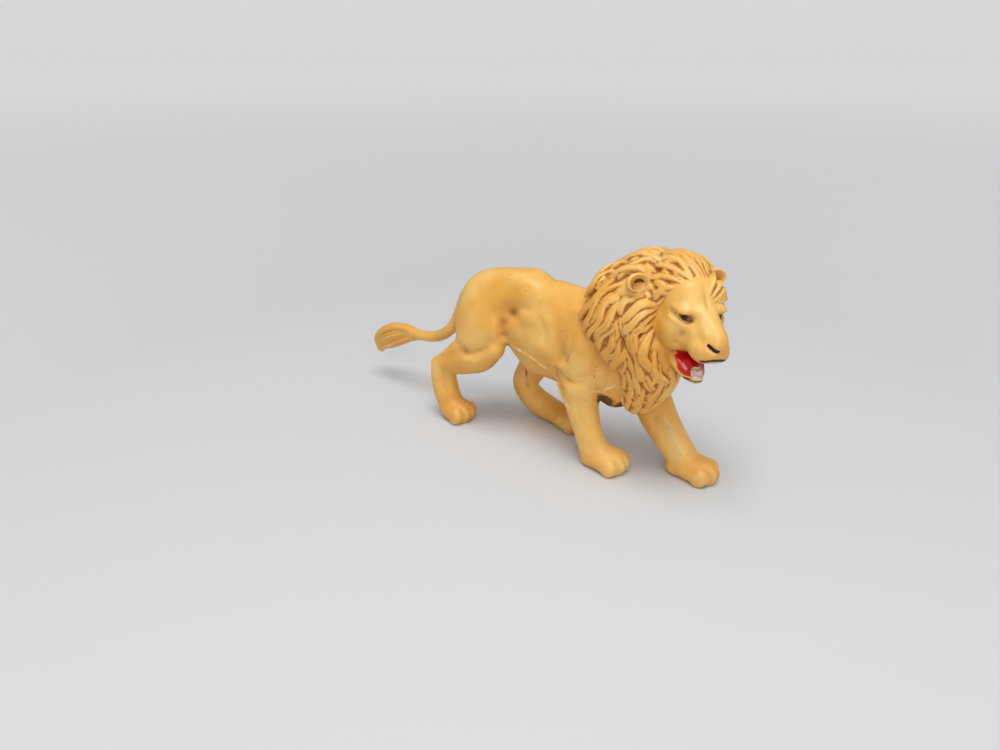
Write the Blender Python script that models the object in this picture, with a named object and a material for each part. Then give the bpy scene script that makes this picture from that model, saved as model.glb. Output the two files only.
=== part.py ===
"""A small lion figure in soft plastic: body with four legs, head with mane, and tail.

Every solid is built from lofts and rounded lumps that overlap, fused by a voxel Remesh and smoothed.
Muscles, creases and folds are then raised or pressed into the skin, the pieces are cut to each other,
and the meshes are thinned. X runs from tail to nose, Y to the lion's left, Z up, in metres. The soles
stand on Z = 0 and the box round the whole figure is centred over the origin.
"""

import bmesh
import bpy
import numpy as np
from mathutils import Vector
from mathutils.bvhtree import BVHTree

# Trunk and legs
TRUNK_LENGTH = 0.0500      # back of the rump to the front of the chest
TRUNK_WIDTH = 0.0148       # across the ribs
BACK_HEIGHT = 0.0366       # highest point of the rump above the soles
LEG_THICKNESS = 0.0064     # foreleg just above the paw
PAW_LENGTH = 0.0104
PAW_WIDTH = 0.0076
PAW_HEIGHT = 0.0050

# Head, in its own frame: forward, left, up
HEAD_LENGTH = 0.0230       # back of the skull to the nose
HEAD_WIDTH = 0.0140        # across the skull
HEAD_HEIGHT = 0.0180       # crown to lower jaw
HEAD_TURN = -35.0          # degrees, to the lion's right
HEAD_NOD = 3.5             # degrees, nose down
HEAD_TILT = -4.0           # degrees, right ear down
EAR_DIAMETER = 0.0044
TOOTH_HEIGHT = 0.0016

# Mane and beard
MANE_HEIGHT = 0.0205       # core of the mane, without its locks
MANE_WIDTH = 0.0196
BEARD_LENGTH = 0.0142
BEARD_WIDTH = 0.0120
LOCK_WIDTH = 0.0020        # a common lock; the table of locks gives shares of it
LOCK_HEIGHT = 0.0010       # half thickness of that lock

# Tail
TAIL_REACH = 0.0310        # how far the tail stands out behind its root
TAIL_DROP = 0.0215         # from its root down to the tip of the tuft
TAIL_THICKNESS = 0.0029
TUFT_DEPTH = 0.0062
TUFT_THICKNESS = 0.0044
TAIL_PEG_DIAMETER = 0.0020
TAIL_PEG_LENGTH = 0.0042

# Seats and surface
SEAT_GAP = 0.0003          # room left between two pieces that plug together
BODY_VOXEL = 0.00035
FACE_VOXEL = 0.00022
HEAD_VOXEL = 0.00022
TAIL_VOXEL = 0.00022
SEAT_VOXEL = 0.00035
SOLE_SNAP = 0.00002        # skin this close to the ground is pressed flat

MUSCLE_RELIEF = 0.0010     # how far a muscle stands out or a hollow sinks in
CREASE_WIDTH = 0.0009
CREASE_DEPTH = 0.0008

BODY_FACES = 4000
HEAD_FACES = 9700
TAIL_FACES = 900

OCHRE = (0.74, 0.40, 0.10)

# Trunk: along, top, bottom, half width
TRUNK_SHARES = (
    (-0.048, 0.803, 0.628, 0.176),
    (0.010, 0.885, 0.560, 0.318),
    (0.100, 0.954, 0.533, 0.419),
    (0.200, 0.989, 0.527, 0.446),
    (0.290, 1.000, 0.497, 0.412),
    (0.370, 0.986, 0.421, 0.419),
    (0.460, 0.970, 0.388, 0.466),
    (0.560, 0.959, 0.372, 0.500),
    (0.660, 0.964, 0.361, 0.500),
    (0.760, 0.984, 0.361, 0.446),
    (0.840, 0.995, 0.423, 0.365),
    (0.900, 0.984, 0.546, 0.284),
)

# Limbs: along, left, up, half thickness across the limb, half thickness sideways
LIMB_SHARES = {
    "neck": (
        (0.760, 0.000, 0.765, 1.250, 0.938),
        (0.860, 0.034, 0.847, 0.969, 0.875),
        (0.940, 0.068, 0.915, 0.781, 0.781),
    ),
    "right_thigh": (
        (0.110, -0.216, 0.833, 0.828, 0.406),
        (0.124, -0.291, 0.724, 1.062, 0.547),
        (0.122, -0.338, 0.615, 1.062, 0.594),
        (0.114, -0.378, 0.530, 0.906, 0.562),
    ),
    "right_shank": (
        (0.204, -0.405, 0.552, 0.469, 0.422),
        (0.140, -0.426, 0.467, 0.531, 0.469),
        (0.052, -0.432, 0.407, 0.469, 0.422),
        (-0.032, -0.432, 0.361, 0.437, 0.391),
        (-0.080, -0.432, 0.306, 0.484, 0.406),
        (-0.078, -0.432, 0.227, 0.500, 0.406),
        (-0.060, -0.439, 0.148, 0.500, 0.422),
        (-0.038, -0.439, 0.077, 0.484, 0.437),
    ),
    "left_thigh": (
        (0.130, 0.216, 0.820, 0.859, 0.406),
        (0.176, 0.291, 0.710, 1.062, 0.547),
        (0.222, 0.338, 0.601, 1.062, 0.578),
        (0.252, 0.365, 0.519, 0.937, 0.547),
    ),
    "left_shank": (
        (0.316, 0.378, 0.511, 0.625, 0.453),
        (0.282, 0.385, 0.404, 0.625, 0.469),
        (0.232, 0.385, 0.295, 0.531, 0.422),
        (0.204, 0.385, 0.210, 0.484, 0.406),
        (0.240, 0.385, 0.139, 0.484, 0.406),
        (0.312, 0.385, 0.096, 0.469, 0.422),
        (0.388, 0.392, 0.074, 0.406, 0.437),
    ),
    "right_foreleg": (
        (0.660, -0.257, 0.847, 0.875, 0.406),
        (0.652, -0.324, 0.710, 0.906, 0.500),
        (0.636, -0.351, 0.560, 0.812, 0.516),
        (0.638, -0.351, 0.454, 0.656, 0.484),
        (0.646, -0.345, 0.355, 0.578, 0.453),
        (0.666, -0.338, 0.262, 0.516, 0.422),
        (0.688, -0.331, 0.175, 0.484, 0.422),
        (0.716, -0.324, 0.093, 0.500, 0.453),
    ),
    "left_foreleg": (
        (0.720, 0.243, 0.792, 0.844, 0.406),
        (0.764, 0.284, 0.656, 0.859, 0.484),
        (0.810, 0.304, 0.505, 0.781, 0.500),
        (0.862, 0.284, 0.372, 0.719, 0.484),
        (0.922, 0.257, 0.257, 0.625, 0.453),
        (0.978, 0.236, 0.169, 0.547, 0.453),
        (1.026, 0.223, 0.101, 0.500, 0.469),
    ),
}

# Hocks: along, left, up
HOCK_SHARES = (
    (-0.118, -0.432, 0.339),
    (0.174, 0.385, 0.202),
)
HOCK_RADIUS_SHARES = (0.28, 0.28, 0.25)

# Paws: along, left, length, width
PAW_SHARES = (
    (-0.012, -0.439, 0.92, 0.97),
    (0.440, 0.392, 1.00, 0.97),
    (0.766, -0.318, 1.00, 1.00),
    (1.076, 0.209, 1.06, 1.00),
)
TOE_SIDE_SHARES = (-0.36, -0.13, 0.13, 0.36)
TOE_SLIT_SHARES = (-0.25, 0.0, 0.25)

# Muscles and hollows: along, left, up, reach along, left and up, then height against MUSCLE_RELIEF
MUSCLE_SHARES = (
    (0.298, -0.419, 0.781, 0.034, 0.203, 0.055, -1.30),
    (0.352, -0.392, 0.828, 0.048, 0.203, 0.033, -0.70),
    (0.310, -0.243, 0.967, 0.064, 0.149, 0.068, 0.85),
    (0.310, 0.243, 0.967, 0.064, 0.149, 0.068, 1.10),
    (0.140, -0.446, 0.738, 0.090, 0.270, 0.137, 0.55),
    (0.450, -0.405, 0.809, 0.068, 0.203, 0.044, 0.50),
    (0.440, -0.473, 0.628, 0.090, 0.203, 0.071, 0.45),
    (0.530, -0.473, 0.716, 0.028, 0.203, 0.098, -0.55),
    (0.580, -0.500, 0.639, 0.030, 0.203, 0.049, -0.80),
    (0.652, -0.541, 0.705, 0.056, 0.203, 0.115, 0.70),
    (0.750, -0.473, 0.672, 0.040, 0.203, 0.093, -0.50),
    (0.232, -0.473, 0.667, 0.026, 0.203, 0.071, 0.50),
    (0.298, 0.419, 0.781, 0.034, 0.203, 0.055, -1.00),
    (0.652, 0.541, 0.705, 0.056, 0.203, 0.115, 0.60),
    (0.584, 0.500, 0.639, 0.030, 0.203, 0.049, -0.70),
    (0.140, 0.446, 0.738, 0.090, 0.270, 0.137, 0.50),
    (0.440, 0.473, 0.628, 0.090, 0.203, 0.071, 0.40),
    (0.692, -0.378, 0.590, 0.032, 0.135, 0.033, 0.45),
    (-0.104, -0.514, 0.290, 0.024, 0.135, 0.077, 0.30),
    (0.100, -0.581, 0.464, 0.068, 0.135, 0.038, 0.40),
    (0.910, 0.108, 0.339, 0.044, 0.108, 0.087, 0.35),
)

# Creases and folds: width and height against the crease sizes, then points along, left, up
CREASE_SHARES = (
    (1.11, -1.00, (
        (0.288, -0.446, 0.770), (0.268, -0.446, 0.721), (0.262, -0.432, 0.661), (0.270, -0.392, 0.590),
    )),
    (1.06, -1.19, (
        (0.028, -0.635, 0.514), (0.084, -0.635, 0.508), (0.136, -0.635, 0.519),
        (0.192, -0.622, 0.557), (0.244, -0.554, 0.617),
    )),
    (0.67, -0.87, (
        (0.536, -0.486, 0.552), (0.580, -0.581, 0.519), (0.624, -0.581, 0.514),
        (0.680, -0.581, 0.541), (0.752, -0.527, 0.590),
    )),
    (0.67, 0.62, (
        (0.500, -0.446, 0.552), (0.560, -0.541, 0.568), (0.620, -0.581, 0.607),
    )),
    (0.72, -0.62, (
        (-0.116, -0.608, 0.393), (-0.072, -0.622, 0.352), (-0.052, -0.622, 0.279), (-0.048, -0.622, 0.180),
    )),
    (1.00, -0.56, (
        (0.324, -0.405, 0.836), (0.388, -0.405, 0.863), (0.468, -0.405, 0.847), (0.532, -0.405, 0.781),
    )),
    (1.00, -0.50, (
        (0.320, -0.446, 0.705), (0.412, -0.459, 0.721), (0.500, -0.473, 0.678),
    )),
)

# Head lumps: forward, left, up, then half sizes forward, up, left; a lump off the middle is made twice
SKULL_SHARES = (
    (-0.332, 0.000, 0.020, 0.307, 0.403, 0.465),
    (-0.117, 0.000, 0.021, 0.194, 0.320, 0.405),
    (-0.251, 0.199, -0.160, 0.202, 0.289, 0.299),
    (-0.097, 0.226, -0.201, 0.202, 0.238, 0.213),
    (0.008, 0.193, 0.041, 0.105, 0.072, 0.159),
    (0.218, 0.096, -0.274, 0.158, 0.134, 0.153),
    (-0.178, 0.246, -0.388, 0.121, 0.150, 0.166),
)
EYE_SHARES = (0.030, 0.203, -0.039, 0.055, 0.070, 0.090)
TONGUE_SHARES = (0.024, 0.000, -0.527, 0.121, 0.046, 0.106)

# Head lofts: forward, left, up, half height, half width
MUZZLE_SHARES = (
    (-0.121, 0.000, -0.176, 0.279, 0.319),
    (0.040, 0.000, -0.176, 0.232, 0.279),
    (0.162, 0.000, -0.201, 0.207, 0.233),
    (0.263, 0.007, -0.232, 0.176, 0.199),
    (0.323, 0.020, -0.253, 0.140, 0.159),
)
BRIDGE_SHARES = (
    (-0.061, 0.000, 0.046, 0.155, 0.199),
    (0.081, 0.000, -0.010, 0.124, 0.166),
    (0.202, 0.007, -0.077, 0.103, 0.140),
    (0.328, 0.023, -0.150, 0.088, 0.126),
)
JAW_SHARES = (
    (-0.162, 0.000, -0.486, 0.124, 0.279),
    (-0.028, 0.000, -0.542, 0.098, 0.246),
    (0.053, 0.000, -0.594, 0.083, 0.199),
    (0.117, 0.000, -0.625, 0.070, 0.146),
    (0.158, 0.000, -0.630, 0.057, 0.093),
)

# Bumps and hollows of the face: forward, left, up, reach forward, left and up, height
FACE_SPOT_SHARES = (
    (0.077, 0.213, -0.036, 0.061, 0.080, 0.046, -0.74),
    (0.117, 0.100, 0.036, 0.040, 0.053, 0.046, 0.19),
    (0.089, 0.286, -0.191, 0.053, 0.080, 0.067, -0.56),
    (0.364, 0.060, -0.155, 0.040, 0.053, 0.036, 0.23),
    (0.049, 0.332, -0.289, 0.040, 0.080, 0.083, -0.47),
    (0.202, 0.193, -0.176, 0.065, 0.066, 0.041, -0.23),
    (0.061, 0.000, 0.134, 0.081, 0.033, 0.083, -0.23),
)

# Lids, brows, cheek folds and the cleft under the nose; each is made on both sides
FACE_LINE_SHARES = (
    (0.43, 0.42, (
        (-0.085, 0.392, -0.046), (-0.024, 0.385, -0.057), (0.016, 0.365, -0.067),
        (0.061, 0.292, -0.088), (0.093, 0.226, -0.093),
    )),
    (0.57, 0.40, (
        (-0.057, 0.379, 0.057), (0.008, 0.345, 0.041), (0.061, 0.306, 0.031), (0.113, 0.219, 0.010),
    )),
    (0.31, -0.35, (
        (-0.065, 0.385, 0.010), (-0.012, 0.365, -0.005), (0.024, 0.339, -0.010),
    )),
    (0.83, -0.41, (
        (0.081, 0.286, -0.124), (0.073, 0.272, -0.170), (0.057, 0.286, -0.258), (0.036, 0.266, -0.351),
    )),
    (0.30, -0.33, (
        (0.388, 0.020, -0.222), (0.384, 0.020, -0.258), (0.368, 0.020, -0.310),
    )),
)
NOSTRIL_SHARES = (
    (0.37, -0.81, (
        (0.332, -0.140, -0.170), (0.344, -0.100, -0.196), (0.360, -0.063, -0.212),
        (0.376, -0.023, -0.209), (0.376, -0.003, -0.181),
    )),
    (0.37, -0.81, (
        (0.360, 0.086, -0.196), (0.344, 0.126, -0.196), (0.332, 0.153, -0.181), (0.319, 0.166, -0.165),
    )),
)

# Head: where its frame stands; the hairline; where the core of the mane starts
FACE_PLACE_SHARES = (1.080, -0.169, 0.992)
HAIRLINE_SHARES = (-0.146, 0.0, -0.052)
HAIRLINE_SIZE_SHARES = (0.380, 0.347)
CORE_FRONT_SHARES = (-0.283, 0.0, -0.062)
CORE_FRONT_SIZE_SHARES = (0.385, 0.357)

# Ears, right and left: share along the mane's guide and degrees from its top
EAR_SPOT_SHARES = (0.45, 0.29)
EAR_SPOT_ANGLES = (-52.0, 65.0)
# How far they stand out, the way they open, and their form
EAR_STAND_SHARE = 0.117
EAR_AXIS_SHARES = (0.74, 0.66, 0.10)
EAR_LONG_SHARE = 1.12
EAR_TALL_SHARE = 0.84
EAR_RIM_SHARE = 0.10
EAR_CLEAR_SHARE = 0.36

# Ear bowl, from the middle of its back over the rim into the hollow: radius, depth along its axis
EAR_PROFILE_SHARES = (
    (0.069, -0.515), (0.297, -0.436), (0.446, -0.238), (0.505, 0.000), (0.495, 0.149),
    (0.446, 0.208), (0.376, 0.149), (0.297, -0.079), (0.158, -0.238), (0.040, -0.277),
)

# Mane behind the hairline: along, left, up, half height, half width
MANE_SHARES = (
    (0.962, 0.101, 0.945, 0.459, 0.352),
    (0.864, 0.068, 0.899, 0.537, 0.474),
    (0.796, 0.054, 0.825, 0.537, 0.490),
    (0.740, 0.020, 0.746, 0.468, 0.449),
)
# Guide that the locks follow: one row before the hairline, and those behind it
GUIDE_FRONT_SHARES = (1.132, -0.284, 1.000, 0.176, 0.214)
GUIDE_SHARES = (
    (0.950, 0.041, 0.945, 0.473, 0.388),
    (0.864, 0.068, 0.899, 0.537, 0.474),
    (0.796, 0.054, 0.825, 0.537, 0.490),
    (0.740, 0.020, 0.746, 0.468, 0.449),
    (0.704, 0.000, 0.694, 0.410, 0.398),
)
# Beard below its root: along, left, down, half depth, half width
BEARD_ROOT_SHARES = (0.892, -0.081, 0.779)
BEARD_SHARES = (
    (0.000, 0.000, 0.000, 0.517, 0.600),
    (0.035, -0.047, 0.359, 0.450, 0.492),
    (0.007, -0.081, 0.627, 0.342, 0.383),
    (-0.042, -0.108, 0.824, 0.217, 0.292),
    (-0.099, -0.135, 1.000, 0.100, 0.158),
)

# Locks that stand out one by one, made on both sides: share along the guide and degrees from its
# top for the root, the middle and the tip, then the width
LOCK_PATH_SHARES = (
    (0.10, 7, 0.32, 6, 0.60, 1, 0.85), (0.12, -3, 0.34, -4, 0.62, -6, 0.80),
    (0.10, -12, 0.34, -12, 0.60, -19, 0.90), (0.13, -20, 0.40, -18, 0.63, -34, 0.85),
    (0.14, -27, 0.42, -31, 0.62, -42, 0.90), (0.17, -33, 0.36, -41, 0.52, -43, 0.80),
    (0.18, -38, 0.31, -48, 0.42, -52, 0.75), (0.20, -44, 0.36, -54, 0.53, -68, 0.80),
    (0.22, -52, 0.36, -64, 0.60, -78, 0.85), (0.25, -57, 0.40, -77, 0.61, -80, 0.90),
    (0.31, -74, 0.50, -89, 0.64, -90, 1.00), (0.33, -84, 0.53, -97, 0.70, -109, 0.95),
    (0.35, -94, 0.56, -103, 0.69, -121, 1.15), (0.36, -103, 0.53, -113, 0.64, -139, 1.50),
    (0.36, -121, 0.47, -133, 0.58, -143, 0.80), (0.58, -4, 0.70, -18, 0.82, -36, 1.00),
    (0.60, -25, 0.70, -25, 0.80, -36, 0.90), (0.57, -38, 0.70, -47, 0.96, -50, 1.10),
    (0.56, -47, 0.70, -53, 0.96, -62, 1.10), (0.59, -54, 0.73, -60, 0.97, -69, 1.00),
    (0.58, -57, 0.70, -64, 0.95, -79, 0.95), (0.54, -65, 0.67, -73, 0.90, -88, 1.10),
    (0.60, -80, 0.73, -85, 0.93, -93, 1.00), (0.63, -88, 0.76, -93, 0.94, -99, 1.00),
    (0.66, -96, 0.79, -101, 0.95, -107, 1.05), (0.68, -106, 0.82, -112, 0.96, -124, 1.50),
    (0.64, -116, 0.74, -127, 0.82, -142, 1.30),
)
# Where the hair starts, by degrees from the top
HAIRLINE_ANGLES = (0, 20, 40, 60, 80, 100, 150)
HAIRLINE_START_SHARES = (0.10, 0.12, 0.19, 0.26, 0.33, 0.36, 0.38)
# Rows of locks between them: start behind the hairline or along the beard, length, how many
FILL_ROW_SHARES = (
    (0.06, 0.30, 13), (0.24, 0.30, 13), (0.40, 0.30, 13), (0.54, 0.28, 12),
)
BEARD_ROW_SHARES = (
    (0.08, 0.40, 11), (0.26, 0.43, 10), (0.46, 0.40, 9), (0.66, 0.32, 7),
)
FILL_REACH_ANGLE = 128.0
FILL_WIDTH_SHARE = 0.85
BEARD_WIDTH_SHARE = 0.80
FILL_LIFT_SHARE = -0.80
BEARD_LIFT_SHARE = -0.20
DRAWN_LIFT_SHARES = (0.0, 0.30)
# How far locks wave from side to side, in degrees round the guide
DRAWN_WAVE_ANGLE = 3.2
FILL_WAVE_ANGLES = (3.0, 6.0)
BEARD_WAVE_ANGLES = (5.0, 11.0)
LOCK_SEED = 11
LOCK_STATION_SHARES = (0.0, 0.15, 0.45, 0.78, 0.93, 1.0)
LOCK_WIDTH_SHARES = (0.20, 0.66, 1.0, 0.86, 0.55, 0.15)
LOCK_HEIGHT_SHARES = (0.25, 0.70, 1.0, 0.90, 0.60, 0.25)
LOCK_LIFT_SHARES = (-0.45, 0.05, 0.45, 0.60, 0.40, 0.10)

# Tail behind its root: back, down, half thickness upright, half thickness sideways
TAIL_ROOT_SHARES = (-0.044, 0.0, 0.738)
TAIL_SHAFT_SHARES = (
    (-0.060, -0.080, 0.650, 0.620),
    (0.000, 0.000, 0.621, 0.586),
    (0.071, 0.191, 0.552, 0.517),
    (0.142, 0.353, 0.500, 0.483),
    (0.245, 0.484, 0.466, 0.466),
    (0.365, 0.553, 0.448, 0.448),
    (0.477, 0.577, 0.448, 0.448),
    (0.574, 0.586, 0.552, 0.500),
)
TUFT_SHARES = (
    (0.523, 0.586, 0.218, 0.295),
    (0.606, 0.595, 0.339, 0.409),
    (0.703, 0.628, 0.452, 0.477),
    (0.800, 0.679, 0.500, 0.500),
    (0.897, 0.753, 0.468, 0.432),
    (0.961, 0.828, 0.339, 0.295),
    (0.994, 0.884, 0.177, 0.159),
)
# Grooves of the tuft, which fan out: back, down, sideways, spread; each at every share of the fan
TUFT_GROOVE_SHARES = (
    (0.558, 0.586, 0.341, 0.040), (0.671, 0.619, 0.443, 0.121), (0.800, 0.688, 0.477, 0.165),
    (0.935, 0.814, 0.341, 0.116),
)
TUFT_FAN_SHARES = (-1.9, -0.9, 0.1, 1.1, 2.0)
TUFT_GROOVE_WIDTH_SHARE = 0.40
TUFT_GROOVE_DEPTH_SHARE = -0.55


def clear_scene():
    for item in list(bpy.data.objects):
        bpy.data.objects.remove(item)


def plastic(name, colour, roughness):
    finish = bpy.data.materials.new(name)
    finish.use_nodes = True
    shader = finish.node_tree.nodes["Principled BSDF"]
    shader.inputs["Base Color"].default_value = (*colour, 1.0)
    shader.inputs["Roughness"].default_value = roughness
    shader.inputs["Metallic"].default_value = 0.0
    return finish


def scaled(shares, sizes):
    return np.array(shares, float) * np.array(sizes, float)


def smooth_rows(rows, count):
    """Cubic curve through rows of values, read at even steps of the distance between their points."""
    rows = np.asarray(rows, float)
    steps = np.linalg.norm(np.diff(rows[:, :3], axis=0), axis=1)
    at = np.concatenate([[0.0], np.cumsum(steps)])
    slopes = np.diff(rows, axis=0) / steps[:, None]
    before, after = steps[:-1, None], steps[1:, None]
    tangents = np.vstack([
        slopes[:1],
        (slopes[:-1] * after + slopes[1:] * before) / (before + after),
        slopes[-1:],
    ])
    want = np.linspace(0.0, at[-1], count)
    span = np.clip(np.searchsorted(at, want, side="right") - 1, 0, len(steps) - 1)
    length = steps[span][:, None]
    part = (want - at[span])[:, None] / length
    left = (2 * part**3 - 3 * part**2 + 1) * rows[span]
    left += (part**3 - 2 * part**2 + part) * length * tangents[span]
    right = (3 * part**2 - 2 * part**3) * rows[span + 1]
    right += (part**3 - part**2) * length * tangents[span + 1]
    return left + right


def unit(vectors):
    return vectors / np.linalg.norm(vectors, axis=-1, keepdims=True)


def path_frame(centres, across):
    """Direction, sideways and upright vectors at each centre of a path."""
    ahead = unit(np.gradient(centres, axis=0))
    across = np.broadcast_to(np.asarray(across, float), ahead.shape)
    side = unit(across - (across * ahead).sum(axis=1, keepdims=True) * ahead)
    return ahead, side, np.cross(ahead, side)


def ring_faces(rings, sides):
    """Quads between closed rings, and a fan to a pole at each end; the poles come after the rings."""
    ring, side = np.meshgrid(np.arange(rings - 1), np.arange(sides), indexing="ij")
    following = (side + 1) % sides
    quads = np.stack([
        ring * sides + side,
        (ring + 1) * sides + side,
        (ring + 1) * sides + following,
        ring * sides + following,
    ], axis=-1).reshape(-1, 4)
    side = np.arange(sides)
    following = (side + 1) % sides
    last = (rings - 1) * sides
    first_pole = np.full(sides, rings * sides)
    start = np.stack([side, following, first_pole], axis=-1)
    end = np.stack([last + following, last + side, first_pole + 1], axis=-1)
    return quads.tolist() + start.tolist() + end.tolist()


def loft(rows, count, sides, across=(0.0, 1.0, 0.0), cap_share=0.8):
    """Closed tube round a smooth path; a row is x, y, z, half upright size, half sideways size."""
    rows = smooth_rows(rows, count)
    centres, upright, sideways = rows[:, :3], rows[:, 3], rows[:, 4]
    ahead, side, up = path_frame(centres, across)
    turn = np.radians([25.0, 50.0, 75.0])
    reach = cap_share * np.minimum(upright, sideways)
    start = centres[0] - ahead[0] * reach[0] * np.sin(turn[::-1])[:, None]
    end = centres[-1] + ahead[-1] * reach[-1] * np.sin(turn)[:, None]
    centres_all = np.vstack([start, centres, end])
    shrink = np.concatenate([np.cos(turn[::-1]), np.ones(count), np.cos(turn)])
    index = np.clip(np.arange(-3, count + 3), 0, count - 1)
    angle = np.linspace(0.0, 2 * np.pi, sides, endpoint=False)
    high = (upright[index] * shrink)[:, None] * np.cos(angle)
    wide = (sideways[index] * shrink)[:, None] * np.sin(angle)
    points = centres_all[:, None] + high[..., None] * up[index][:, None]
    points = points + wide[..., None] * side[index][:, None]
    poles = np.stack([centres[0] - ahead[0] * reach[0], centres[-1] + ahead[-1] * reach[-1]])
    return np.vstack([points.reshape(-1, 3), poles]), ring_faces(count + 6, sides)


def lump(centre, half_sizes, ahead=(1.0, 0.0, 0.0), across=(0.0, 1.0, 0.0), sides=20):
    """Ellipsoid; half sizes run ahead, upright and sideways."""
    along = np.linspace(-0.96, 0.96, 9)
    round_share = np.sqrt(1.0 - along**2)
    centres = np.asarray(centre) + along[:, None] * unit(np.asarray(ahead, float)) * half_sizes[0]
    rows = np.column_stack([centres, round_share * half_sizes[1], round_share * half_sizes[2]])
    return loft(rows, 11, sides, across, cap_share=0.25)


def new_object(name, parts, finish):
    """One mesh object that holds every (points, faces) pair."""
    points, faces, offset = [], [], 0
    for part_points, part_faces in parts:
        points.append(part_points)
        faces += [[index + offset for index in face] for face in part_faces]
        offset += len(part_points)
    mesh = bpy.data.meshes.new(name)
    mesh.from_pydata(np.vstack(points).tolist(), [], faces)
    mesh.materials.append(finish)
    item = bpy.data.objects.new(name, mesh)
    bpy.context.scene.collection.objects.link(item)
    return item


def apply_modifiers(item):
    bpy.context.view_layer.update()
    graph = bpy.context.evaluated_depsgraph_get()
    mesh = bpy.data.meshes.new_from_object(item.evaluated_get(graph))
    item.modifiers.clear()
    item.data = mesh


def fuse(item, voxel):
    remesh = item.modifiers.new("fuse", "REMESH")
    remesh.mode = "VOXEL"
    remesh.voxel_size = voxel
    apply_modifiers(item)


def smooth(item, rounds):
    relax = item.modifiers.new("smooth", "SMOOTH")
    relax.factor = 0.5
    relax.iterations = rounds
    apply_modifiers(item)


def thin_out(item, faces):
    item.data.calc_loop_triangles()
    decimate = item.modifiers.new("thin", "DECIMATE")
    decimate.ratio = min(1.0, faces / len(item.data.loop_triangles))
    decimate.use_collapse_triangulate = True
    apply_modifiers(item)


def combine(item, tool, operation):
    """Exact Boolean with a second object, which is used up."""
    boolean = item.modifiers.new(operation.lower(), "BOOLEAN")
    boolean.operation = operation
    boolean.solver = "EXACT"
    boolean.object = tool
    apply_modifiers(item)
    bpy.data.objects.remove(tool)


def keep_largest(item):
    """Drops the crumbs that a cut leaves beside the piece itself."""
    work = bmesh.new()
    work.from_mesh(item.data)
    bmesh.ops.triangulate(work, faces=work.faces)
    left = set(work.verts)
    islands = []
    while left:
        front = [left.pop()]
        island = list(front)
        while front:
            vert = front.pop()
            for edge in vert.link_edges:
                other = edge.other_vert(vert)
                if other in left:
                    left.discard(other)
                    front.append(other)
                    island.append(other)
        islands.append(island)
    islands.sort(key=len, reverse=True)
    for island in islands[1:]:
        bmesh.ops.delete(work, geom=island, context="VERTS")
    work.to_mesh(item.data)
    work.free()


def read_points(item, what="co"):
    values = np.empty(len(item.data.vertices) * 3, np.float32)
    item.data.vertices.foreach_get(what, values)
    return values.reshape(-1, 3).astype(float)


def move_points(item, points):
    item.data.vertices.foreach_set("co", points.ravel())
    item.data.update()


def surface_tree(item):
    bpy.context.view_layer.update()
    return BVHTree.FromObject(item, bpy.context.evaluated_depsgraph_get())


def grown_copy(item, gap):
    """A closed skin that lies outside the original by the gap."""
    copy = bpy.data.objects.new(item.name + "_seat", item.data.copy())
    bpy.context.scene.collection.objects.link(copy)
    move_points(copy, read_points(copy) + read_points(copy, "normal") * gap)
    fuse(copy, SEAT_VOXEL)
    return copy


def swell(item, spots, sizes, relief):
    """Each spot lifts the skin by height exp(-|away / reach|^2)."""
    points, normals = read_points(item), read_points(item, "normal")
    rise = np.zeros(len(points))
    for spot in spots:
        away = (points - scaled(spot[:3], sizes)) / scaled(spot[3:6], sizes)
        rise += spot[6] * relief * np.exp(-(away**2).sum(axis=1))
    move_points(item, points + normals * rise[:, None])


def distance_to(points, curve):
    """Distance from each point to a curve, and the share along it of the nearest place."""
    away = np.empty(len(points))
    along = np.empty(len(points))
    for some in np.array_split(np.arange(len(points)), 1 + len(points) // 20000):
        gaps = np.linalg.norm(points[some][:, None] - curve, axis=2)
        away[some] = gaps.min(axis=1)
        along[some] = gaps.argmin(axis=1) / (len(curve) - 1)
    return away, along


def carve(item, lines):
    """Each line moves the skin by height exp(-(away / width)^2) and fades out at both ends."""
    points, normals = read_points(item), read_points(item, "normal")
    skin = surface_tree(item)
    rise = np.zeros(len(points))
    for width, height, path in lines:
        path = np.array([skin.find_nearest(Vector(point))[0][:] for point in smooth_rows(path, 16)])
        steps = np.linalg.norm(np.diff(path, axis=0), axis=1)
        curve = smooth_rows(path[np.append(True, steps > 0.1 * width)], 60)
        low, high = curve.min(axis=0) - 3 * width, curve.max(axis=0) + 3 * width
        near = np.all((points > low) & (points < high), axis=1)
        away, along = distance_to(points[near], curve)
        fade = np.clip(np.minimum(along, 1.0 - along) / 0.22, 0.0, 1.0)
        rise[near] += height * fade * np.exp(-(away / width)**2)
    move_points(item, points + normals * rise[:, None])


def crease_lines(table, sizes, sides=(1.0,)):
    """Lines of a table in metres, each also mirrored where there are two sides."""
    lines = []
    for width, height, path in table:
        for side in sides:
            points = scaled(path, sizes) * (1.0, side, 1.0)
            lines.append((width * CREASE_WIDTH, height * CREASE_DEPTH, points))
    return lines


def flatten_soles(item):
    """Presses everything that reaches below the ground up to it."""
    points = read_points(item)
    points[points[:, 2] < SOLE_SNAP, 2] = 0.0
    move_points(item, points)


def body_point(shares):
    return scaled(shares, (TRUNK_LENGTH, TRUNK_WIDTH, BACK_HEIGHT))


def limb(name, count):
    sizes = (TRUNK_LENGTH, TRUNK_WIDTH, BACK_HEIGHT, LEG_THICKNESS, LEG_THICKNESS)
    return loft(scaled(LIMB_SHARES[name], sizes), count, 24)


def trunk():
    along, top, bottom, half_width = np.array(TRUNK_SHARES).T
    rows = np.column_stack([
        along * TRUNK_LENGTH,
        np.zeros(len(along)),
        (top + bottom) / 2 * BACK_HEIGHT,
        (top - bottom) / 2 * BACK_HEIGHT,
        half_width * TRUNK_WIDTH,
    ])
    return loft(rows, 40, 32, cap_share=0.5)


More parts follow.
